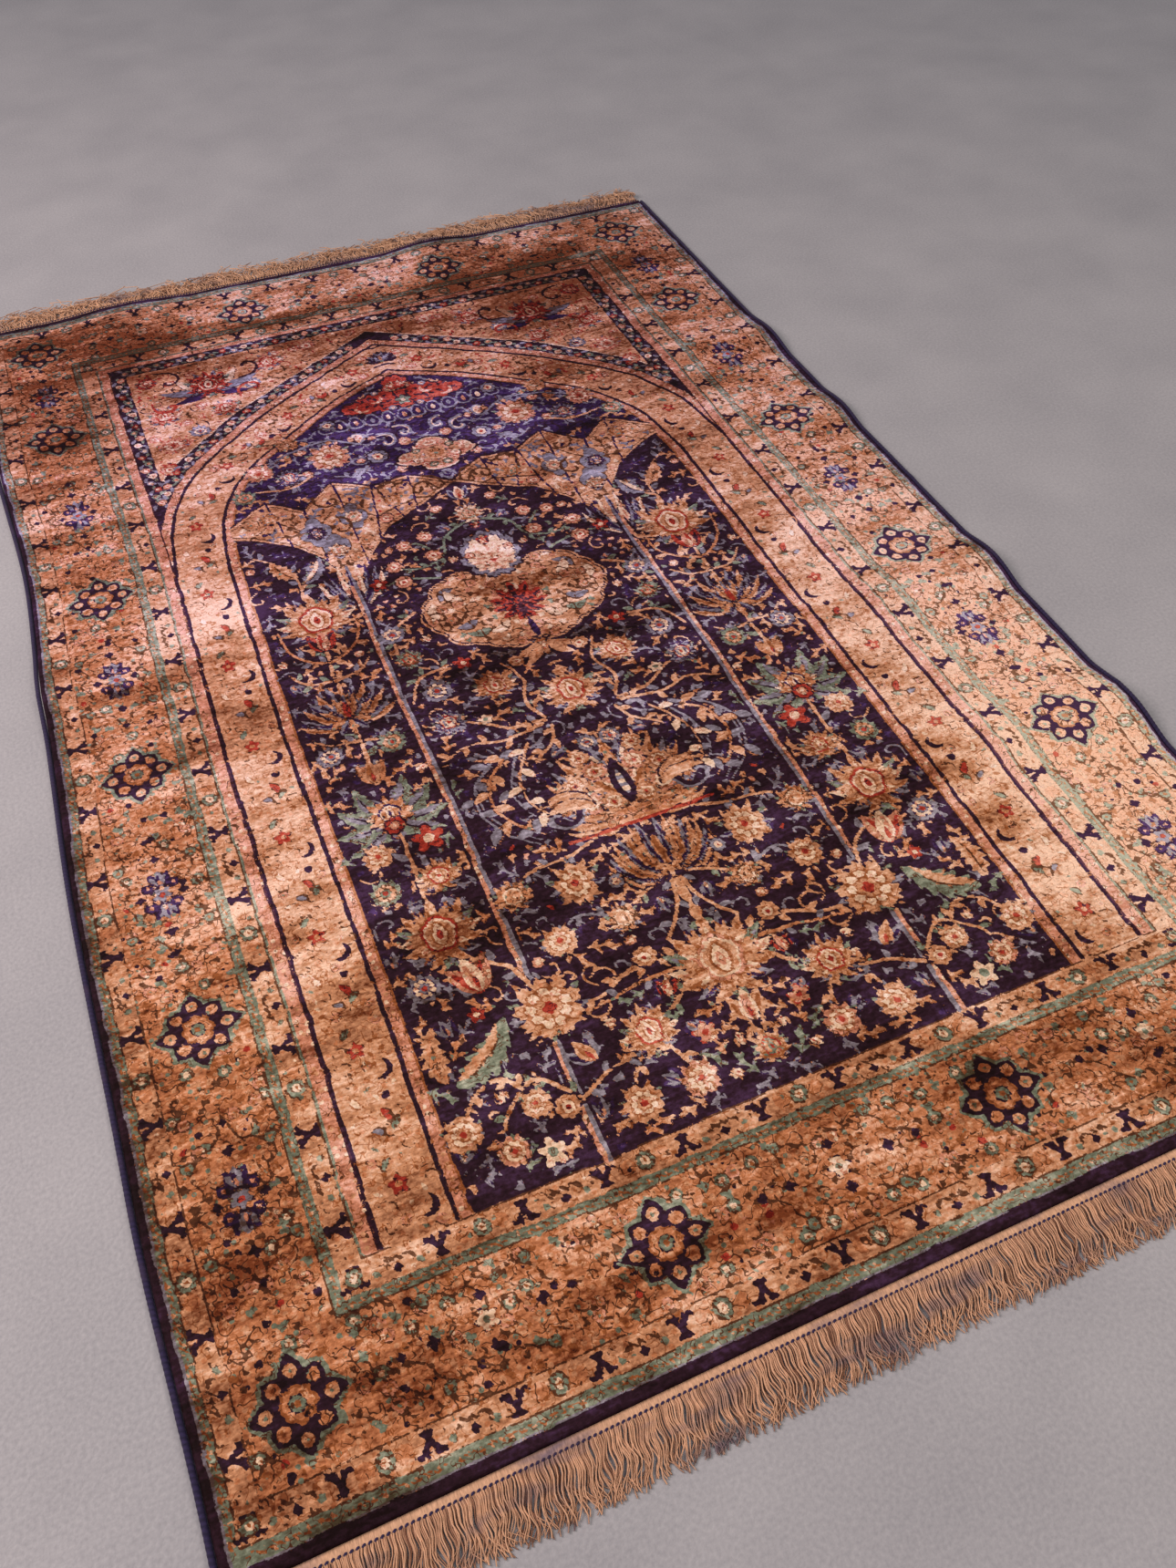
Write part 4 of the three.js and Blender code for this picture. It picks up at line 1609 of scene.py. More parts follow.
@dataclass
class Lay:
    """How the rug lies: soft ripples, swaying edges, and its left side a little longer.

    A crease's height is given by its least share and its greatest value.
    """

    half_width: float = 0.600
    half_length: float = 0.950
    fringe_reach: float = 0.0603
    taper: float = 0.0095
    ripples: tuple[Ripple, ...] = (
        Ripple(0.640, -0.480, -6, 0.430, 0.080, 0.0130),
        Ripple(0.640, -0.185, 5, 0.400, 0.070, 0.0110),
        Ripple(0.640, 0.205, 3, 0.260, 0.065, 0.0080),
        Ripple(0.640, 0.430, -4, 0.330, 0.075, 0.0090),
        Ripple(0.000, 0.305, 1, 0.680, 0.062, 0.0035),
        Ripple(-0.080, -0.190, -1, 0.600, 0.066, 0.0040),
        Ripple(0.185, 0.980, 84, 0.260, 0.095, 0.0080),
        Ripple(-0.360, 0.990, 98, 0.240, 0.120, 0.0070),
        Ripple(-0.640, 0.590, 4, 0.270, 0.130, 0.0090),
        Ripple(-0.640, 0.060, -3, 0.230, 0.090, 0.0060),
    )
    sways: tuple[Sway, ...] = (
        Sway(-0.950, -0.010, 0.000),
        Sway(-0.610, 0.003, 0.003),
        Sway(-0.280, 0.007, 0.007),
        Sway(0.040, 0.000, 0.005),
        Sway(0.285, -0.009, 0.002),
        Sway(0.550, 0.001, 0.000),
        Sway(0.950, 0.000, 0.000),
    )
    creases: int = 70
    crease_box: tuple[float, float] = (0.6, 0.93)
    crease_turn: float = 7.0
    crease_reach: tuple[float, float] = (0.08, 0.30)
    crease_spread: tuple[float, float] = (0.009, 0.026)
    crease_height: tuple[float, float] = (0.25, 0.0011)
    seed: int = 5

    def __post_init__(self) -> None:
        """Draws the faint creases that run across the rug."""
        rng = np.random.default_rng(self.seed)
        least, highest = self.crease_height
        self.fine = []
        for _ in range(self.creases):
            x, y = [rng.uniform(-half, half) for half in self.crease_box]
            turn, reach = rng.normal(0.0, self.crease_turn), rng.uniform(*self.crease_reach)
            spread, height = rng.uniform(*self.crease_spread), highest * rng.uniform(least, 1.0)
            self.fine.append(Ripple(x, y, turn, reach, spread, height))

    def lift(self, x: np.ndarray, y: np.ndarray) -> np.ndarray:
        """Height of the underside over the floor at places of the flat rug.

        Args:
            x: Across, from the middle line.
            y: Along, from the middle.

        Returns:
            Metres over the floor.
        """
        height = np.zeros(np.broadcast(x, y).shape)
        for ripple in (*self.ripples, *self.fine):
            along, across = turned(x - ripple.x, y - ripple.y, ripple.turn)
            height += ripple.height * swell(along / ripple.reach) * swell(across / ripple.spread)
        return height * (1.0 - smooth((np.abs(y) - self.half_length) / self.fringe_reach))

    def place(self, x: np.ndarray, y: np.ndarray, z: np.ndarray) -> np.ndarray:
        """Where points of the flat rug lie.

        Args:
            x: Across, from the middle line.
            y: Along, from the middle.
            z: Height over the underside.

        Returns:
            The points, with the coordinates on the last axis.
        """
        x, y, z = np.broadcast_arrays(x, y, z)
        rows = [sway.y for sway in self.sways]
        row = np.clip(np.searchsorted(rows, y) - 1, 0, len(rows) - 2)
        table = np.array(self.sways)
        share = smooth((y - table[row, 0]) / (table[row + 1, 0] - table[row, 0]))
        side = np.where(x < 0, 1, 2)
        shift = table[row, side] * (1.0 - share) + table[row + 1, side] * share
        outward = x / self.half_width
        across = x + np.sign(x) * outward**2 * shift
        return np.stack([across, y * (1.0 - self.taper * outward), z + self.lift(x, y)], -1)


def linear(code: str) -> Colour:
    """Linear colour of a hex code."""
    parts = [int(code[i : i + 2], 16) / 255 for i in (1, 3, 5)]
    return (*[p / 12.92 if p <= 0.04045 else ((p + 0.055) / 1.055) ** 2.4 for p in parts], 1.0)


def grid_faces(rows: int, columns: int) -> np.ndarray:
    """Corner numbers of the quads of a grid of points, seen from above with rows coming nearer.

    Args:
        rows: Rows of points.
        columns: Points in a row.

    Returns:
        Four corner numbers for each quad.
    """
    corner = np.arange(rows * columns).reshape(rows, columns)
    quads = (corner[:-1, :-1], corner[1:, :-1], corner[1:, 1:], corner[:-1, 1:])
    return np.stack([q.ravel() for q in quads], 1)


def make_piece(
    name: str, points: np.ndarray, faces: np.ndarray, finish: bpy.types.Material
) -> bpy.types.Object:
    """A smooth-shaded mesh object.

    Args:
        name: Name of the piece.
        points: Coordinates, one row each.
        faces: Corner numbers, one row for each face.
        finish: Its material.

    Returns:
        The object, linked to the scene.
    """
    mesh = bpy.data.meshes.new(name)
    mesh.vertices.add(len(points))
    mesh.vertices.foreach_set("co", points.astype(np.float32).ravel())
    mesh.loops.add(faces.size)
    mesh.loops.foreach_set("vertex_index", faces.astype(np.int32).ravel())
    mesh.polygons.add(len(faces))
    mesh.polygons.foreach_set("loop_start", np.arange(0, faces.size, faces.shape[1], dtype=np.int32))
    mesh.polygons.foreach_set("use_smooth", np.ones(len(faces), bool))
    mesh.update(calc_edges=True)
    mesh.materials.append(finish)
    piece = bpy.data.objects.new(name, mesh)
    bpy.context.scene.collection.objects.link(piece)
    return piece


def paint_points(piece: bpy.types.Object, name: str, values: np.ndarray) -> None:
    """Stores one number or vector at each point of a mesh for its material to read.

    Args:
        piece: The mesh object.
        name: Name that the material reads.
        values: A number or a row for each point.
    """
    kind, key = ("FLOAT", "value") if values.ndim == 1 else ("FLOAT_VECTOR", "vector")
    layer = piece.data.attributes.new(name, kind, "POINT")
    layer.data.foreach_set(key, values.astype(np.float32).ravel())


def enlist(piece: bpy.types.Object, slot: str, *nodes: str) -> bpy.types.Object:
    """Makes a piece ride on the rug and stand for its solids.

    Args:
        piece: The piece.
        slot: Not used.
        *nodes: Solids that it stands for.

    Returns:
        The same piece.
    """
    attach(piece, "root")
    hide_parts(*nodes)
    LOG.info("%s: %d faces", piece.name, len(piece.data.polygons))
    return piece


class Graph:
    """Short hand for the nodes of one material."""

    def __init__(self, name: str) -> None:
        """Starts a material with its shader.

        Args:
            name: Name of the material.
        """
        self.material = bpy.data.materials.new(name)
        self.material.use_nodes = True
        self.tree = self.material.node_tree
        self.shader = self.tree.nodes["Principled BSDF"]

    def node(self, kind: str, **settings: object) -> bpy.types.Node:
        """Adds a node and sets its options.

        Args:
            kind: Type of the node, without its prefix.
            **settings: Options to set.

        Returns:
            The node.
        """
        made = self.tree.nodes.new(f"ShaderNode{kind}")
        for key, value in settings.items():
            setattr(made, key, value)
        return made

    def feed(self, socket: bpy.types.NodeSocket, value: object) -> None:
        """Links a socket to another, or sets its value.

        Args:
            socket: Input to feed.
            value: Another socket, or a plain value.
        """
        if isinstance(value, bpy.types.NodeSocket):
            self.tree.links.new(value, socket)
        else:
            socket.default_value = value

    def math(self, operation: str, *inputs: object) -> bpy.types.NodeSocket:
        """Result of a sum on numbers.

        Args:
            operation: Which sum.
            *inputs: Numbers or sockets.

        Returns:
            Socket of the result.
        """
        made = self.node("Math", operation=operation)
        for socket, value in zip(made.inputs, inputs):
            self.feed(socket, value)
        return made.outputs[0]

    def mix(self, share: object, first: object, second: object, blend: str = "MIX") -> bpy.types.NodeSocket:
        """Blend of two colours.

        Args:
            share: How much of the second colour.
            first: First colour.
            second: Second colour.
            blend: How they blend.

        Returns:
            Socket of the result.
        """
        made = self.node("Mix", data_type="RGBA", blend_type=blend)
        for index, value in ((0, share), (6, first), (7, second)):
            self.feed(made.inputs[index], value)
        return made.outputs[2]

    def span(
        self, value: object, low: float, high: float, start: float = 0.0, end: float = 1.0
    ) -> bpy.types.NodeSocket:
        """A number brought from one range to another.

        Args:
            value: The number.
            low: Result at the start.
            high: Result at the end.
            start: Start of its range.
            end: End of its range.

        Returns:
            Socket of the result.
        """
        made = self.node("MapRange")
        for socket, item in zip(made.inputs, (value, start, end, low, high)):
            self.feed(socket, item)
        return made.outputs[0]

    def place(self, scale: tuple[float, float, float]) -> bpy.types.NodeSocket:
        """Object coordinates, scaled.

        Args:
            scale: Factor for each axis.

        Returns:
            Socket of the result.
        """
        where = self.node("TexCoord").outputs["Object"]
        made = self.node("VectorMath", operation="MULTIPLY")
        self.feed(made.inputs[0], where)
        made.inputs[1].default_value = scale
        return made.outputs[0]

    def noise(self, where: bpy.types.NodeSocket, scale: float, detail: float = 2.0) -> bpy.types.NodeSocket:
        """Soft noise between 0 and 1.

        Args:
            where: Place to read it at.
            scale: How fine it is.
            detail: Finer layers on top.

        Returns:
            Socket of the result.
        """
        made = self.node("TexNoise")
        self.feed(made.inputs["Vector"], where)
        made.inputs["Scale"].default_value = scale
        made.inputs["Detail"].default_value = detail
        return made.outputs["Fac"]

    def stored(self, name: str) -> bpy.types.Node:
        """Values stored at the points of the mesh."""
        return self.node("Attribute", attribute_name=name)

    def finish(self, colour: object, rough: object, height: object, depth: float) -> bpy.types.Material:
        """Dresses the shader.

        Args:
            colour: Base colour.
            rough: Roughness.
            height: Bump height, 0 to 1.
            depth: Depth of the bump in metres.

        Returns:
            The material.
        """
        self.feed(self.shader.inputs["Base Color"], colour)
        self.feed(self.shader.inputs["Roughness"], rough)
        bump = self.node("Bump")
        bump.inputs["Strength"].default_value = 1.0
        bump.inputs["Distance"].default_value = depth
        self.feed(bump.inputs["Height"], height)
        self.feed(self.shader.inputs["Normal"], bump.outputs[0])
        return self.material

    def dull(self, gloss: float) -> None:
        """Sets the strength of the gloss."""
        self.shader.inputs["Specular IOR Level"].default_value = gloss

    def soften(self, sheen: float, spread: float, tint: str) -> None:
        """Sets the soft sheen of yarn.

        Args:
            sheen: Strength of the sheen.
            spread: Its roughness.
            tint: Its colour.
        """
        self.shader.inputs["Sheen Weight"].default_value = sheen
        self.shader.inputs["Sheen Roughness"].default_value = spread
        self.shader.inputs["Sheen Tint"].default_value = linear(tint)


# Fine work in the plain grounds: the yarn of the ground, the yarn that shows in it, and either the
# number of a scroll or the share of the specks that show it.
FINE_WORK: tuple[tuple[Yarn, Yarn, int | tuple[float, float]], ...] = (
    (PEACH, BROWN, 0),
    (PEACH, RUST, 1),
    (PEACH, SAGE, (0.00, 0.11)),
    (PEACH, NAVY, (0.11, 0.13)),
    (PEACH, GOLD, (0.20, 0.55)),
    (GOLD, RUST, 2),
    (GOLD, PEACH, (0.30, 0.60)),
    (SALMON, BROWN, 2),
    (SALMON, RUST, 1),
    (SALMON, CREAM, (0.00, 0.24)),
    (SALMON, GOLD, (0.24, 0.50)),
    (CREAM, SALMON, 1),
    (INDIGO, NAVY, 0),
    (RED, WINE, 1),
    (SAGE, BROWN, 1),
)


@dataclass(frozen=True)
class PileFinish:
    """Knotted pile: each knot takes the yarn that scores highest on the chart.

    Where the pile is given painted sheen a knot shows its yarn's light tone, and where it is given
    painted shade it sinks to a deep warm painted shade; the far half takes a painted violet light tint.
    """

    knot: float = 0.0014
    jitter: float = 0.26
    tint: float = 0.14
    # Painted shade that the colour is multiplied by where the pile is given painted shade.
    shade: str = "#927460"
    # Painted light tint from the near end to the far end, a violet light on the far half, and where it
    # turns.
    near_light_tint: Colour = (1.0, 0.94, 0.88, 1.0)
    far_light_tint: Colour = (1.0, 0.96, 1.28, 1.0)
    light_tint_ends: tuple[float, float] = (-0.50, 0.60)
    # Noise streaks that vary the painted sheen and shade: scale across, scale along and strength.
    streaks: tuple[tuple[float, float, float], ...] = (
        (7.0, 16.0, 2.8),
        (26.0, 62.0, 2.2),
        (90.0, 300.0, 1.5),
        (170.0, 210.0, 1.9),
    )
    scrolls: tuple[tuple[float, float], ...] = ((66.0, 0.016), (118.0, 0.020), (84.0, 0.014))
    scroll_cut: float = 0.46
    specks: float = 125.0
    speck_reach: float = 0.30
    fine_gain: float = 1.3
    jitter_step: tuple[float, float, float] = (17.0, 5.0, 1.0)
    rough: tuple[float, float] = (0.62, 0.9)
    gloss: float = 0.08
    bump: float = 0.0010
    bump_shares: tuple[float, float] = (0.8, 0.5)

    def build(self) -> bpy.types.Material:
        """Makes the material.

        Returns:
            The material.
        """
        g = Graph("knotted_pile")
        per_metre = 1.0 / self.knot
        cells = g.node("VectorMath", operation="FLOOR")
        g.feed(cells.inputs[0], g.place((per_metre, per_metre, 0.0)))
        deep, light = self.pick(g, cells.outputs[0])
        # Painted sheen and shade: the stored patches plus noise streaks; above 0 the light tone is mixed
        # in, below 0 the colour is multiplied by the painted shade.
        sheen_level = g.stored("nap").outputs["Fac"]
        waves = []
        for across, along, strength in self.streaks:
            wave = g.noise(g.place((across, along, 0.0)), 1.0, 2.0)
            sheen_level = g.math("MULTIPLY_ADD", g.math("SUBTRACT", wave, 0.5), strength, sheen_level)
            waves.append(wave)
        colour = g.mix(g.span(sheen_level, 0.0, 1.0), deep, light)
        colour = g.mix(g.span(sheen_level, 1.0, 0.0, -1.0, 0.0), colour, linear(self.shade), "MULTIPLY")
        one = g.node("TexWhiteNoise")
        g.feed(one.inputs["Vector"], cells.outputs[0])
        grey = g.node("CombineColor")
        for socket in grey.inputs:
            g.feed(socket, g.span(one.outputs["Value"], 1.0 - self.tint, 1.0 + self.tint))
        colour = g.mix(1.0, colour, grey.outputs[0], "MULTIPLY")
        along = g.node("SeparateXYZ")
        # Painted light tint: the colour is multiplied by a tint that turns violet towards the far end.
        g.feed(along.inputs[0], g.place((1.0, 1.0, 1.0)))
        light_tint = g.mix(g.span(along.outputs["Y"], 0.0, 1.0, *self.light_tint_ends), self.near_light_tint, self.far_light_tint)
        colour = g.mix(1.0, colour, light_tint, "MULTIPLY")
        fibre, knot = self.bump_shares
        height = g.math("MULTIPLY_ADD", waves[-1], fibre, g.math("MULTIPLY", one.outputs["Value"], knot))
        g.dull(self.gloss)
        return g.finish(colour, g.span(waves[1], *self.rough), height, self.bump)

    def pick(self, g: Graph, cells: bpy.types.NodeSocket) -> tuple[object, object]:
        """Finds each knot's yarn.

        Args:
            g: Graph of the material.
            cells: Which knot a place belongs to.

        Returns:
            The yarn's own tone and its painted sheen tone.
        """
        scores = []
        for group in range(YARN_GROUPS):
            stored = g.node("SeparateXYZ")
            g.feed(stored.inputs[0], g.stored(f"yarn_{group}").outputs["Vector"])
            shift = g.node("VectorMath", operation="ADD")
            g.feed(shift.inputs[0], cells)
            shift.inputs[1].default_value = [group * step for step in self.jitter_step]
            chance = g.node("TexWhiteNoise")
            g.feed(chance.inputs["Vector"], shift.outputs[0])
            parts = g.node("SeparateColor")
            g.feed(parts.inputs[0], chance.outputs["Color"])
            for part in range(3):
                share = stored.outputs[part]
                scores.append(g.math("MULTIPLY_ADD", parts.outputs[part], self.jitter, share))
        self.enrich(g, scores)
        best, first = scores[0], DYES[Yarn(0)]
        deep, light = linear(first.deep), linear(first.light)
        for yarn in list(Yarn)[1:]:
            wins = g.math("GREATER_THAN", scores[yarn], best)
            deep = g.mix(wins, deep, linear(DYES[yarn].deep))
            light = g.mix(wins, light, linear(DYES[yarn].light))
            best = g.math("MAXIMUM", best, scores[yarn])
        return deep, light

    def enrich(self, g: Graph, scores: list[bpy.types.NodeSocket]) -> None:
        """Lets fine scrolls and specks show in the plain grounds, by raising their yarns' scores there.

        Args:
            g: Graph of the material.
            scores: Score of each yarn, raised in place.
        """
        plain = list(scores)
        marks = [self.scroll(g, *scroll) for scroll in self.scrolls]
        specks = g.node("TexVoronoi", voronoi_dimensions="2D")
        g.feed(specks.inputs["Vector"], g.place((1.0, 1.0, 0.0)))
        specks.inputs["Scale"].default_value = self.specks
        near = g.math("LESS_THAN", specks.outputs["Distance"], self.speck_reach)
        kind = g.node("SeparateColor")
        g.feed(kind.inputs[0], specks.outputs["Color"])
        for ground, yarn, mark in FINE_WORK:
            if isinstance(mark, int):
                share = marks[mark]
            else:
                low = g.math("GREATER_THAN", kind.outputs[0], mark[0])
                high = g.math("LESS_THAN", kind.outputs[0], mark[1])
                share = g.math("MULTIPLY", near, g.math("MULTIPLY", low, high))
            raised = g.math("MULTIPLY", plain[ground], share)
            scores[yarn] = g.math("MULTIPLY_ADD", raised, self.fine_gain, scores[yarn])

    def scroll(self, g: Graph, scale: float, width: float) -> bpy.types.NodeSocket:
        """1 on thin curling lines, 0 elsewhere.

        Args:
            g: Graph of the material.
            scale: How closely the lines curl.
            width: Half-width of a line, as a step of the noise.

        Returns:
            Socket of the result.
        """
        wave = g.noise(g.place((1.0, 1.0, 0.0)), scale, 1.0)
        line = g.math("LESS_THAN", g.math("ABSOLUTE", g.math("SUBTRACT", wave, 0.5)), width)
        gaps = g.noise(g.place((1.0, 1.0, 7.0)), 0.9 * scale, 0.0)
        return g.math("MULTIPLY", line, g.math("GREATER_THAN", gaps, self.scroll_cut))


@dataclass(frozen=True)
class YarnFinish:
    """Spun yarn: a colour that wanders from strand to strand, blotches of a third colour and fine twist
    ribs.
    """

    name: str
    colour: str
    shade: str
    blotch: str
    ribs: tuple[float, float, float]
    bump: float
    patches: tuple[float, float, float] = (13.0, 40.0, 9.0)
    blotch_share: float = 0.85
    blotch_range: tuple[float, float] = (0.52, 0.72)
    rib_tones: tuple[float, float] = (0.72, 1.22)
    rib_range: tuple[float, float] = (0.3, 0.7)
    rough: tuple[float, float] = (0.66, 0.92)
    sheen: float = 0.12
    sheen_spread: float = 0.5
    sheen_tint: str = "#f6e4d4"
    gloss: float = 0.2

    def build(self) -> bpy.types.Material:
        """Makes the material.

        Returns:
            The material.
        """
        g = Graph(self.name)
        patch = g.noise(g.place(self.patches), 1.0, 3.0)
        fibre = g.noise(g.place(self.ribs), 1.0, 2.0)
        strand = g.stored("strand").outputs["Fac"]
        # The stored value moves the colour to the shade colour; on the fringe strands it is painted shade
        # of the lower strands.
        base = g.mix(strand, linear(self.colour), linear(self.shade))
        base = g.mix(g.span(patch, 0.0, self.blotch_share, *self.blotch_range), base, linear(self.blotch))
        grey = g.node("CombineColor")
        for socket in grey.inputs:
            g.feed(socket, g.span(fibre, *self.rib_tones, *self.rib_range))
        colour = g.mix(1.0, base, grey.outputs[0], "MULTIPLY")
        g.dull(self.gloss)
        g.soften(self.sheen, self.sheen_spread, self.sheen_tint)
        return g.finish(colour, g.span(patch, *self.rough), fibre, self.bump)


FRINGE_COTTON = YarnFinish(
    name="fringe_cotton",
    colour="#d8a886",
    # The shade colour is painted shade on the lower fringe strands, and random tone on the web.
    shade="#855945",
    blotch="#6b5d6c",
    ribs=(900.0, 160.0, 900.0),
    bump=0.0003,
)
DARK_WOOL = YarnFinish(
    name="dark_wool",
    colour="#30264a",
    shade="#1c1630",
    blotch="#3a2c44",
    ribs=(300.0, 900.0, 300.0),
    bump=0.0004,
)
BACK_CANVAS = YarnFinish(
    name="back_canvas",
    colour="#b08a62",
    shade="#8c6a4a",
    blotch="#7c6250",
    ribs=(500.0, 500.0, 20.0),
    bump=0.0003,
)


@dataclass(frozen=True)
class FloorFinish:
    """Plain pale floor with a faint mottle."""

    colour: str = "#aca8aa"
    spot: str = "#8f8c90"
    mottle: float = 6.0
    grain: float = 260.0
    shares: tuple[float, float] = (0.6, 0.5)
    spot_range: tuple[float, float] = (0.3, 0.8)
    rough: tuple[float, float] = (0.6, 0.85)
    bump: float = 0.0006

    def build(self) -> bpy.types.Material:
        """Makes the material.

        Returns:
            The material.
        """
        g = Graph("pale_floor")
        mottle = g.noise(g.place((self.mottle,) * 3), 1.0, 6.0)
        grain = g.noise(g.place((self.grain,) * 3), 1.0, 3.0)
        fine, broad = self.shares
        share = g.math("MULTIPLY_ADD", grain, fine, g.math("MULTIPLY", mottle, broad))
        colour = g.mix(g.span(share, 0.0, 1.0, *self.spot_range), linear(self.colour), linear(self.spot))
        return g.finish(colour, g.span(grain, *self.rough), grain, self.bump)


class ShadingPatch(NamedTuple):
    """A patch of painted sheen where gain is above 0 and painted shade where it is below: place, reach,
    turn and how light it looks.
    """

    x: float
    y: float
    reach: float
    spread: float
    turn: float
    gain: float


@dataclass
class Pile:
    """The knotted sheet in five long strips, which meet edge to edge."""

    lay: Lay
    knot: float = 0.0025
    cells: int = 3
    half_width: float = 0.5937
    half_length: float = 0.950
    thickness: float = 0.006
    strips: int = 5
    folds: int = 3
    gutter: float = 0.01
    grain: float = 0.00016
    edge_steps: tuple[tuple[float, float], ...] = ((0.0005, 0.70), (0.0001, 0.08))
    seed: int = 3
    # Painted sheen and shade: patches where the pile looks lighter or darker, along the ripples and edges.
    shading_patches: tuple[ShadingPatch, ...] = (
        ShadingPatch(-0.36, 0.840, 0.20, 0.035, -8, -0.8),
        ShadingPatch(0.00, 0.800, 0.34, 0.028, 0, -0.7),
        ShadingPatch(-0.28, 0.715, 0.12, 0.025, 0, -0.7),
        ShadingPatch(0.02, 0.700, 0.10, 0.030, 0, -0.6),
        ShadingPatch(0.30, 0.740, 0.14, 0.150, 0, -1.25),
        ShadingPatch(0.47, 0.760, 0.13, 0.100, 0, -0.5),
        ShadingPatch(0.30, 0.460, 0.12, 0.100, 0, -0.45),
        ShadingPatch(0.20, 0.300, 0.10, 0.030, 0, -0.5),
        ShadingPatch(0.00, 0.020, 0.34, 0.030, 0, -0.45),
        ShadingPatch(-0.45, 0.020, 0.16, 0.014, 0, -0.5),
        ShadingPatch(-0.10, -0.110, 0.42, 0.022, 0, -0.45),
        ShadingPatch(-0.24, -0.490, 0.07, 0.060, 0, -0.6),
        ShadingPatch(0.26, -0.490, 0.06, 0.050, 0, -0.5),
        ShadingPatch(-0.53, -0.660, 0.08, 0.240, 0, -0.40),
        ShadingPatch(-0.40, -0.870, 0.22, 0.060, 0, -0.65),
        ShadingPatch(-0.08, -0.840, 0.10, 0.035, 0, -0.6),
        ShadingPatch(0.14, -0.815, 0.06, 0.045, 30, -0.7),
        ShadingPatch(0.30, -0.820, 0.05, 0.060, 20, -0.5),
        ShadingPatch(0.02, -0.920, 0.12, 0.030, 0, -0.1),
        ShadingPatch(0.49, -0.020, 0.10, 0.030, 0, 0.7),
        ShadingPatch(0.48, -0.100, 0.10, 0.030, 0, 0.6),
        ShadingPatch(0.50, -0.290, 0.08, 0.050, 0, 0.8),
        ShadingPatch(0.47, -0.480, 0.08, 0.040, 0, 0.7),
        ShadingPatch(0.47, -0.300, 0.15, 0.360, 0, 0.70),
        ShadingPatch(0.52, -0.440, 0.10, 0.140, 0, 0.50),
        ShadingPatch(0.49, -0.610, 0.15, 0.140, 0, 1.20),
        ShadingPatch(-0.36, -0.060, 0.05, 0.120, 0, -0.25),
        ShadingPatch(-0.19, 0.225, 0.13, 0.080, 0, -0.20),
        ShadingPatch(0.19, 0.225, 0.13, 0.080, 0, -0.25),
        ShadingPatch(-0.20, -0.830, 0.12, 0.030, 0, 0.45),
        ShadingPatch(-0.36, 0.100, 0.07, 0.100, 0, 0.5),
        ShadingPatch(-0.51, 0.410, 0.08, 0.030, 0, 0.5),
        ShadingPatch(-0.50, 0.790, 0.14, 0.290, 0, -0.75),
        ShadingPatch(-0.365, 0.730, 0.06, 0.080, 0, -0.45),
        ShadingPatch(0.365, 0.400, 0.05, 0.090, 0, -0.60),
        ShadingPatch(-0.365, 0.570, 0.05, 0.080, 0, 0.35),
        ShadingPatch(0.365, -0.600, 0.06, 0.170, 0, -0.50),
        ShadingPatch(0.50, 0.090, 0.10, 0.100, 0, 0.15),
        ShadingPatch(-0.50, -0.230, 0.08, 0.090, 0, 0.25),
        ShadingPatch(0.00, 0.700, 0.28, 0.080, 0, -0.30),
        ShadingPatch(0.00, 0.885, 0.50, 0.060, 0, 0.20),
        ShadingPatch(-0.42, 0.130, 0.16, 0.090, 0, 0.35),
        ShadingPatch(-0.38, -0.360, 0.10, 0.120, 0, 0.4),
        ShadingPatch(-0.10, 0.325, 0.05, 0.020, 0, 0.7),
        ShadingPatch(0.09, 0.325, 0.04, 0.020, 0, 0.5),
        ShadingPatch(0.00, 0.400, 0.24, 0.130, 0, 0.10),
        ShadingPatch(-0.588, -0.320, 0.016, 0.55, 0, -0.55),
    )

    def nap(self, x: np.ndarray, y: np.ndarray) -> np.ndarray:
        """Painted sheen and shade at places of the flat rug, for the pile's lean and the ripples' shading.

        Args:
            x: Across, from the middle line.
            y: Along, from the middle.

        Returns:
            The painted sheen, below 0 painted shade, by row and column.
        """
        light = np.zeros(np.broadcast(x, y).shape)
        for shading_patch in self.shading_patches:
            along, across = turned(x - shading_patch.x, y - shading_patch.y, shading_patch.turn)
            light += shading_patch.gain * np.exp(-((along / shading_patch.reach) ** 2) - (across / shading_patch.spread) ** 2)
        return light

    def build(self, chart: Chart, finish: bpy.types.Material) -> list[bpy.types.Object]:
        """Makes the strips.

        Args:
            chart: The pattern.
            finish: Material that reads the chart's scores.

        Returns:
            The strips, left to right.
        """
        scores = chart.scores(self.cells)
        rows, columns = scores.shape[:2]
        edge = len(self.edge_steps)
        scores = np.pad(scores, ((edge, edge), (edge, edge), (0, 0)), mode="edge")
        x, rise_x = self.ruler(columns, self.half_width)
        y, rise_y = self.ruler(rows, self.half_length)
        x, y = x[None, :], -y[:, None]
        rng = np.random.default_rng(self.seed)
        rough = rng.normal(0.0, self.grain, (len(y), x.shape[1]))
        rough = 0.5 * rough + 0.25 * (np.roll(rough, 1, 1) + np.roll(rough, -1, 1))
        z = (self.thickness + rough) * np.minimum(rise_x[None, :], rise_y[:, None])
        points = self.lay.place(x, y, z)
        normals = np.cross(np.gradient(points, axis=0), np.gradient(points, axis=1))
        normals = normals / np.linalg.norm(normals, axis=-1, keepdims=True)
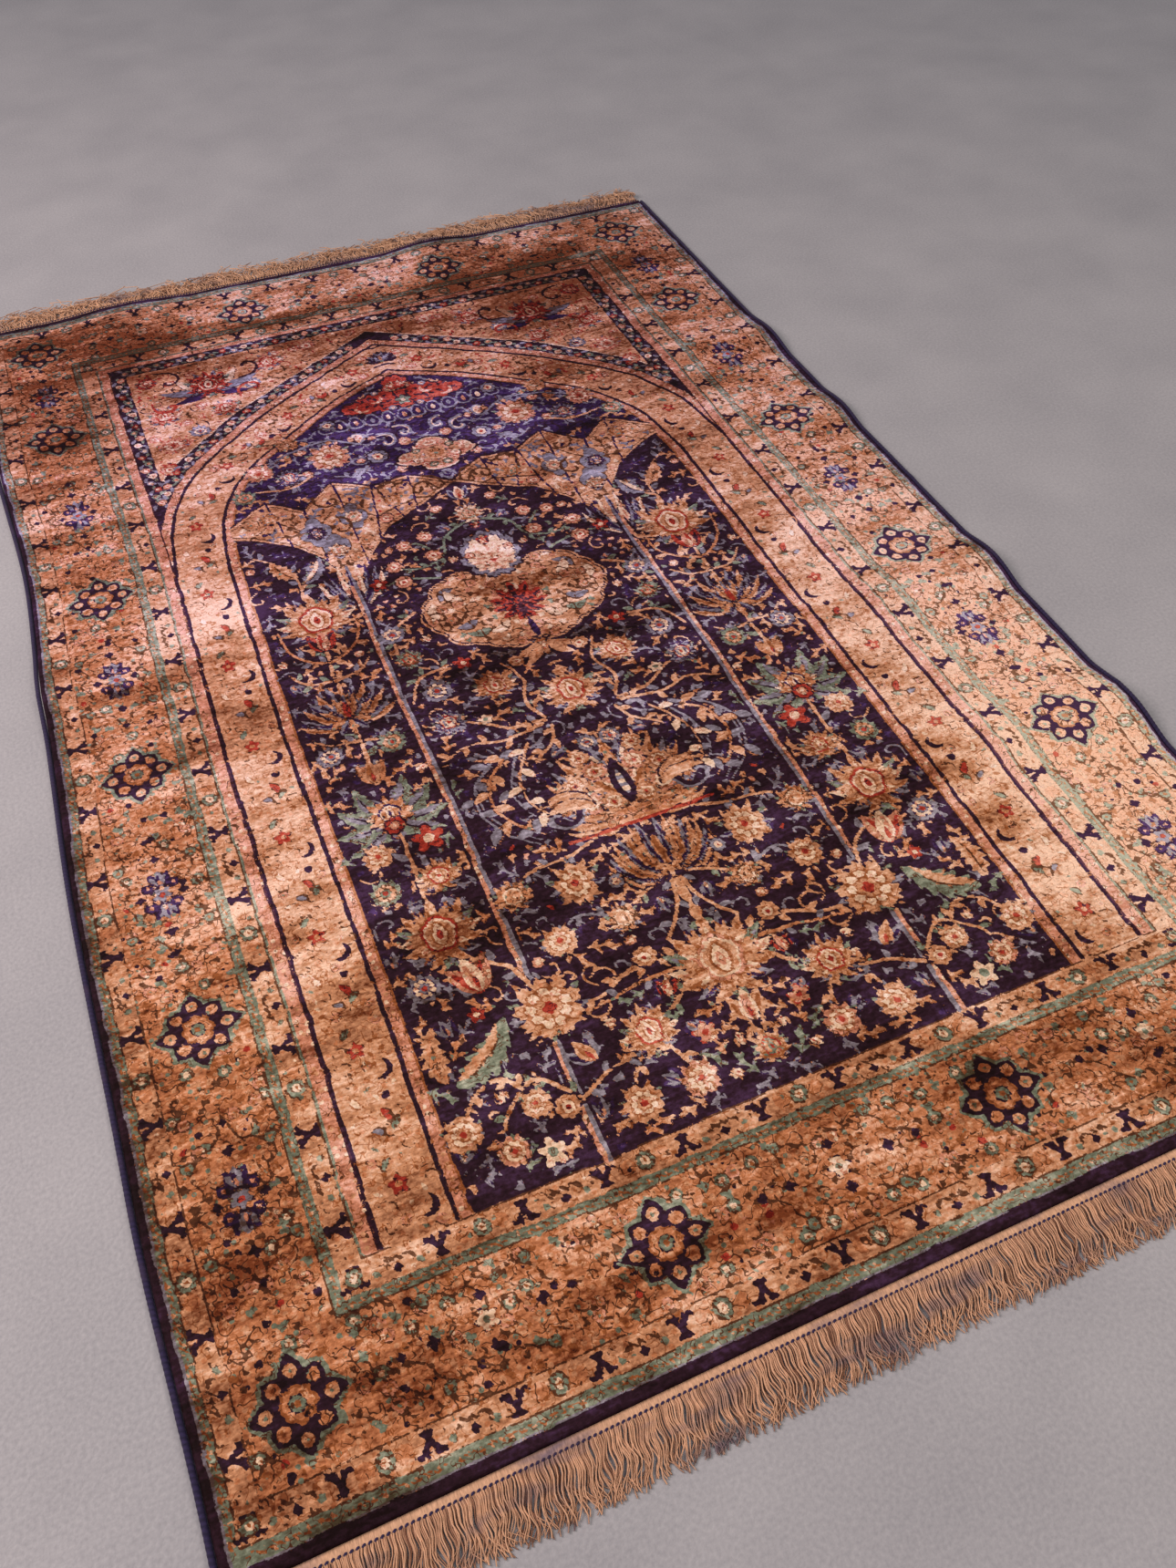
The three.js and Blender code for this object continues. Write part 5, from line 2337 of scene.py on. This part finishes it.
        # Painted sheen and shade, stored at each point for the material.
        nap = self.nap(x, y)
        cuts = np.linspace(0, points.shape[1] - 1, self.strips + 1).round().astype(int)
        made = []
        for index, (a, b) in enumerate(zip(cuts, cuts[1:])):
            part = slice(a, b + 1)
            size = (points.shape[0], b + 1 - a)
            corners = points[:, part].reshape(-1, 3)
            piece = make_piece(f"pile_{index + 1}", corners, grid_faces(*size), finish)
            for group in range(YARN_GROUPS):
                values = scores[:, part, 3 * group : 3 * group + 3].reshape(-1, 3)
                paint_points(piece, f"yarn_{group}", values)
            paint_points(piece, "nap", nap[:, part].ravel())
            piece.data.normals_split_custom_set_from_vertices(normals[:, part].reshape(-1, 3))
            self.unfold(piece, *size)
            made.append(enlist(piece, "pile", "pile"))
        return made

    def ruler(self, count: int, half: float) -> tuple[np.ndarray, np.ndarray]:
        """Places of the points across one way, and how full the pile stands there.

        Args:
            count: Number of knots.
            half: Half the size of the pile.

        Returns:
            The places and the shares of the full height.
        """
        inner = (np.arange(count) - 0.5 * (count - 1)) * self.knot
        outer = [half - inset for inset, _ in self.edge_steps]
        rise = [share for _, share in self.edge_steps]
        places = np.concatenate([-np.array(outer[::-1]), inner, outer])
        return places, np.concatenate([rise[::-1], np.ones(count), rise])

    def unfold(self, piece: bpy.types.Object, rows: int, columns: int) -> None:
        """Lays the strip out flat in a square, folded into columns side by side.

        Args:
            piece: The strip.
            rows: Rows of its points.
            columns: Points in a row.
        """
        per_fold = -(-(rows - 1) // self.folds)
        row, column = np.divmod(np.arange((rows - 1) * (columns - 1)), columns - 1)
        fold = row // per_fold
        corners = ((0, 0), (1, 0), (1, 1), (0, 1))
        places = np.zeros((len(row), 4, 2), np.float32)
        for corner, (down, across) in enumerate(corners):
            share = self.gutter + (1 - 2 * self.gutter) * (column + across) / (columns - 1)
            places[:, corner, 0] = (fold + share) / self.folds
            places[:, corner, 1] = 1.0 - (row - fold * per_fold + down) / per_fold
        layer = piece.data.uv_layers.new(name="OFBake")
        layer.data.foreach_set("uv", places.ravel())


@dataclass
class Backing:
    """The woven back of the rug, just over the floor."""

    lay: Lay
    half_width: float = 0.5925
    half_length: float = 0.9492
    step: float = 0.016
    height: float = 0.0006

    def build(self, finish: bpy.types.Material) -> bpy.types.Object:
        """Makes the sheet.

        Args:
            finish: Its material.

        Returns:
            The piece.
        """
        x = np.linspace(-self.half_width, self.half_width, round(2 * self.half_width / self.step))
        y = np.linspace(self.half_length, -self.half_length, round(2 * self.half_length / self.step))
        points = self.lay.place(x[None, :], y[:, None], np.float64(self.height))
        faces = grid_faces(len(y), len(x))[:, ::-1]
        piece = make_piece("woven_back", points.reshape(-1, 3), faces, finish)
        paint_points(piece, "strand", np.zeros(len(points.reshape(-1, 3))))
        return enlist(piece, "pile", "pile")


class Side(IntEnum):
    """The long sides of the rug, by the way they face along X."""

    LEFT = -1
    RIGHT = 1


class End(IntEnum):
    """The ends of the rug, by the way they face along Y."""

    NEAR = -1
    FAR = 1


@dataclass
class Selvedge:
    """Overcast cord along one long side, with the turns of its yarn showing as ribs."""

    lay: Lay
    side: Side
    half_width: float = 0.600
    half_length: float = 0.950
    diameter: float = 0.006
    sides: int = 8
    rings: int = 1100
    turn_pitch: float = 0.0052
    rib: float = 0.00035

    def build(self, finish: bpy.types.Material) -> bpy.types.Object:
        """Makes the cord.

        Args:
            finish: Its material.

        Returns:
            The piece.
        """
        radius = 0.5 * self.diameter
        y = np.linspace(self.half_length, -self.half_length, self.rings)[:, None]
        angle = np.linspace(0.0, 2 * math.pi, self.sides + 1)[None, :]
        wave = np.cos(2 * math.pi * y / self.turn_pitch + self.side * angle)
        reach = radius - self.rib * (0.5 - 0.5 * wave)
        end = np.clip((self.half_length - np.abs(y)) / radius, 0.02, 1.0)
        reach = reach * np.sqrt(1.0 - (1.0 - end) ** 2)
        x = self.side * (self.half_width - radius) + reach * np.cos(angle)
        points = self.lay.place(x, y, radius + reach * np.sin(angle))
        faces = grid_faces(self.rings, self.sides + 1)[:, ::-1]
        node = f"selvedge_{self.side.name.lower()}"
        piece = make_piece(f"{node}_cord", points.reshape(-1, 3), faces, finish)
        paint_points(piece, "strand", (0.5 + 0.5 * wave).ravel())
        return enlist(piece, "selvedge", node)


@dataclass
class Fringe:
    """Warp ends past the pile: a flat-woven strip, a row of dark stitches and loose strands.

    Bare numbers in the methods are waves along the end, shares of a strand or of a size, and angles.
    """

    lay: Lay
    end: End
    strands: int
    longest: float
    shortest: float
    sweep: float
    wander: float
    pile_of: float
    tuft: float
    seed: int
    half_width: float = 0.5937
    root: float = 0.9503
    web: float = 0.009
    web_height: float = 0.0024
    web_columns: int = 594
    web_rib: float = 0.05
    corner_gap: float = 0.002
    root_shift: float = 0.0007
    thick: float = 0.00100
    steps: int = 11
    waves: float = 1.7
    stitch_pitch: float = 0.0050
    stitch_size: tuple[float, float, float] = (0.0021, 0.0013, 0.0011)
    stitch_slant: float = 28.0
    stitch_place: float = 0.84

    @property
    def node(self) -> str:
        """Name of the solid that this end stands for."""
        return f"fringe_{self.end.name.lower()}"

    def build(self, cotton: bpy.types.Material, thread: bpy.types.Material) -> list[bpy.types.Object]:
        """Makes the strip, its stitches and its strands."""
        return [self.build_web(cotton), self.build_stitches(thread), self.build_strands(cotton)]

    def build_web(self, finish: bpy.types.Material) -> bpy.types.Object:
        """Makes the flat-woven strip.

        Args:
            finish: Its material.

        Returns:
            The piece.
        """
        rng = np.random.default_rng(self.seed)
        x = np.linspace(-self.half_width, self.half_width, self.web_columns)[None, :]
        profile = np.array([(0.0, 0.1), (0.0, 0.9), (0.35, 1.0), (0.7, 0.95), (1.0, 0.85), (1.0, 0.1)])
        rib = 1.0 + self.web_rib * np.where(np.arange(x.shape[1]) % 2, 1.0, -1.0)[None, :]
        z = self.web_height * profile[:, 1:2] * rib
        y = self.end * (self.root + self.web * profile[:, 0:1])
        points = self.lay.place(x, y, z)
        faces = grid_faces(len(profile), x.shape[1])
        if self.end > 0:
            faces = faces[:, ::-1]
        piece = make_piece(f"{self.node}_web", points.reshape(-1, 3), faces, finish)
        paint_points(piece, "strand", rng.uniform(0.0, 0.3, points.shape[0] * points.shape[1]))
        return enlist(piece, "fringe", self.node)

    def build_stitches(self, finish: bpy.types.Material) -> bpy.types.Object:
        """Makes the row of dark stitches along the strip's outer edge.

        Args:
            finish: Its material.

        Returns:
            The piece.
        """
        count = int(2 * self.half_width / self.stitch_pitch)
        x = (np.arange(count) - 0.5 * (count - 1)) * self.stitch_pitch
        ring = np.linspace(0.0, 2 * math.pi, 8, endpoint=False)
        belt = np.array([(math.sin(a), math.cos(a)) for a in np.linspace(0.12, math.pi - 0.12, 5)])
        shape = [(r * math.cos(a), r * math.sin(a), h) for r, h in belt for a in ring]
        bead = np.array(shape) * self.stitch_size
        across, along = turned(bead[:, 0], bead[:, 1], -self.stitch_slant)
        px = x[:, None] + across[None, :]
        py = self.end * (self.root + self.stitch_place * self.web) + along[None, :]
        points = self.lay.place(px, py, self.web_height + bead[None, :, 2])
        corner = np.arange(len(bead)).reshape(len(belt), len(ring))
        around = np.roll(corner, -1, 1)
        quads = np.stack([corner[:-1], corner[1:], around[1:], around[:-1]], -1).reshape(-1, 4)
        faces = (quads[None] + (np.arange(count) * len(bead))[:, None, None]).reshape(-1, 4)
        piece = make_piece(f"{self.node}_stitches", points.reshape(-1, 3), faces, finish)
        paint_points(piece, "strand", np.zeros(count * len(bead)))
        return enlist(piece, "selvedge", self.node)

    def build_strands(self, finish: bpy.types.Material) -> bpy.types.Object:
        """Makes the loose strands, which come down from the strip and lie on the floor.

        Args:
            finish: Its material.

        Returns:
            The piece.
        """
        rng = np.random.default_rng(self.seed + 1)
        n, t = self.strands, np.linspace(0.0, 1.0, self.steps)[None, :]
        start = np.linspace(-1.0, 1.0, n)[:, None] * (self.half_width - self.corner_gap)
        start = start + rng.uniform(-self.root_shift, self.root_shift, n)[:, None]
        length = rng.uniform(self.shortest, self.longest, n)[:, None]
        slow = np.sin(start * 23.0 + self.seed) + 0.8 * np.sin(start * 61.0 + 2.0)
        offset = 0.3 * np.sin(start * 44.0) + 0.2 * np.sin(start * 131.0)
        ripple = np.sin(2 * math.pi * (t * self.waves + offset))
        phase = rng.uniform(0.0, 2 * math.pi, n)[:, None]
        swing = self.wander * rng.normal(0.0, 1.0, n)[:, None]
        loose = swing * t * np.sin(4.2 * t + phase)
        hook = 2.0 * self.wander * rng.normal(0.0, 1.0, n)[:, None] * smooth((t - 0.7) / 0.3)
        drift = self.wander * (0.8 * slow * t + 0.8 * ripple * np.sqrt(t))
        x = start + self.sweep * t**1.3 + drift + loose + hook
        x = np.clip(x, -self.half_width, self.half_width)
        y = self.end * (self.root + 0.94 * self.web + length * (t - 0.05 * np.sin(3.0 * t + phase) * t))
        layer = rng.uniform(0.0, 1.0, n)[:, None]
        thick = self.thick * rng.uniform(0.8, 1.15, n)[:, None]
        drop = smooth(t / 0.3)
        tufts = self.tuft * t * np.maximum(0.0, np.sin(start * 83.0 + phase))
        arch = np.sin(math.pi * (0.10 + 0.84 * t)) + tufts
        z = thick + (1.0 - drop) * (0.6 * self.web_height - thick) + self.pile_of * layer * arch
        radius = thick * (1.0 - 0.3 * t)
        angle = np.radians([90.0, 210.0, 330.0])
        px = x[..., None] + radius[..., None] * np.cos(angle)
        pz = z[..., None] + radius[..., None] * np.sin(angle)
        points = self.lay.place(px, y[..., None], pz)
        corner = np.arange(n * self.steps * 3).reshape(n, self.steps, 3)
        around = np.roll(corner, -1, 2)
        quads = np.stack([corner[:, :-1], around[:, :-1], around[:, 1:], corner[:, 1:]], -1).reshape(-1, 4)
        if self.end < 0:
            quads = quads[:, ::-1]
        piece = make_piece(f"{self.node}_strands", points.reshape(-1, 3), quads, finish)
        # Painted shade: the lower strands take the darker colour, as if in the shadow of those above, with
        # a random spread.
        shade = np.clip(1.0 - 1.25 * layer + rng.normal(0.0, 0.12, (n, 1)), 0.0, 1.0)
        paint_points(piece, "strand", np.broadcast_to(shade[..., None], corner.shape).ravel())
        return enlist(piece, "fringe", self.node)


class Softbox(NamedTuple):
    """A square lamp: its place, what it looks at, its side, power and colour."""

    place: tuple[float, float, float]
    target: tuple[float, float, float]
    side: float
    power: float
    colour: str


@dataclass
class Studio:
    """Pale floor, soft lamps and the camera."""

    eye: tuple[float, float, float] = (-0.36942, -1.21085, 1.10617)
    heading: float = 20.894
    dip: float = 49.606
    roll: float = -1.986
    lens: float = 29.251
    sensor: float = 36.0
    floor_half: float = 6.0
    sky: str = "#dfe2ea"
    sky_strength: float = 0.42
    lamps: tuple[Softbox, ...] = (
        Softbox((-2.4, 0.6, 2.2), (0.0, 0.0, 0.0), 1.4, 92.0, "#fff0ec"),
        Softbox((1.6, -1.8, 2.8), (0.1, -0.2, 0.0), 1.8, 46.0, "#fff2e4"),
    )

    def build(self, finish: bpy.types.Material) -> None:
        """Makes the floor, the lamps, the sky and the camera.

        Args:
            finish: Material of the floor.
        """
        half = self.floor_half
        corners = np.array([(-half, half, 0.0), (half, half, 0.0), (-half, -half, 0.0), (half, -half, 0.0)])
        floor = make_piece("floor", corners, grid_faces(2, 2), finish)
        for index, lamp in enumerate(self.lamps):
            data = bpy.data.lights.new(f"softbox_{index + 1}", "AREA")
            data.size = lamp.side
            data.energy = lamp.power
            data.color = linear(lamp.colour)[:3]
            made = bpy.data.objects.new(data.name, data)
            made.location = lamp.place
            way = Vector(lamp.target) - Vector(lamp.place)
            made.rotation_euler = way.to_track_quat("-Z", "Y").to_euler()
            bpy.context.scene.collection.objects.link(made)
        world = bpy.data.worlds.new("sky")
        world.use_nodes = True
        sky = world.node_tree.nodes["Background"]
        sky.inputs["Color"].default_value = linear(self.sky)
        sky.inputs["Strength"].default_value = self.sky_strength
        bpy.context.scene.world = world
        bpy.context.scene.view_settings.view_transform = "Standard"
        self.build_camera()

    def build_camera(self) -> None:
        """Makes the camera and takes it into use."""
        data = bpy.data.cameras.new("camera")
        data.lens = self.lens
        data.sensor_width = self.sensor
        camera = bpy.data.objects.new("camera", data)
        turn = Matrix.Rotation(-math.radians(self.heading), 4, "Z")
        tilt = Matrix.Rotation(math.radians(90.0 - self.dip), 4, "X")
        spin = Matrix.Rotation(math.radians(self.roll), 4, "Z")
        camera.matrix_world = Matrix.Translation(self.eye) @ turn @ tilt @ spin
        bpy.context.scene.collection.objects.link(camera)
        bpy.context.scene.camera = camera


def draw_chart(pile: Pile) -> Chart:
    """Draws the whole pattern on a chart of the pile's right half.

    Args:
        pile: The pile that takes its knots from the chart.

    Returns:
        The drawn chart.
    """
    cell = pile.knot / pile.cells / MM
    columns = int(pile.half_width / pile.knot)
    chart = Chart(columns * pile.knot / MM, 2 * pile.half_length / MM, cell)
    Borders(chart).paint()
    Niche(chart).paint()
    Field(chart).paint()
    return chart


def main() -> None:
    """Dresses the rug and sets the studio."""
    logging.basicConfig(level=logging.INFO, format="%(message)s")
    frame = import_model()
    LOG.info("solids: %s", ", ".join(sorted(frame["nodes"])))
    lay = Lay()
    pile = Pile(lay)
    strips = pile.build(draw_chart(pile), PileFinish().build())
    cotton, dark = FRINGE_COTTON.build(), DARK_WOOL.build()
    cords = [Selvedge(lay, side).build(dark) for side in Side]
    near = Fringe(
        lay,
        End.NEAR,
        strands=1350,
        longest=0.051,
        shortest=0.043,
        sweep=-0.006,
        wander=0.0030,
        pile_of=0.0034,
        tuft=0.0,
        seed=11,
    )
    far = Fringe(
        lay,
        End.FAR,
        strands=1000,
        longest=0.051,
        shortest=0.020,
        sweep=0.002,
        wander=0.0075,
        pile_of=0.0058,
        tuft=1.9,
        seed=21,
    )
    ends = [*near.build(cotton, dark), *far.build(cotton, dark)]
    back = Backing(lay).build(BACK_CANVAS.build())
    Studio().build(FloorFinish().build())


if __name__ == "__main__":
    main()
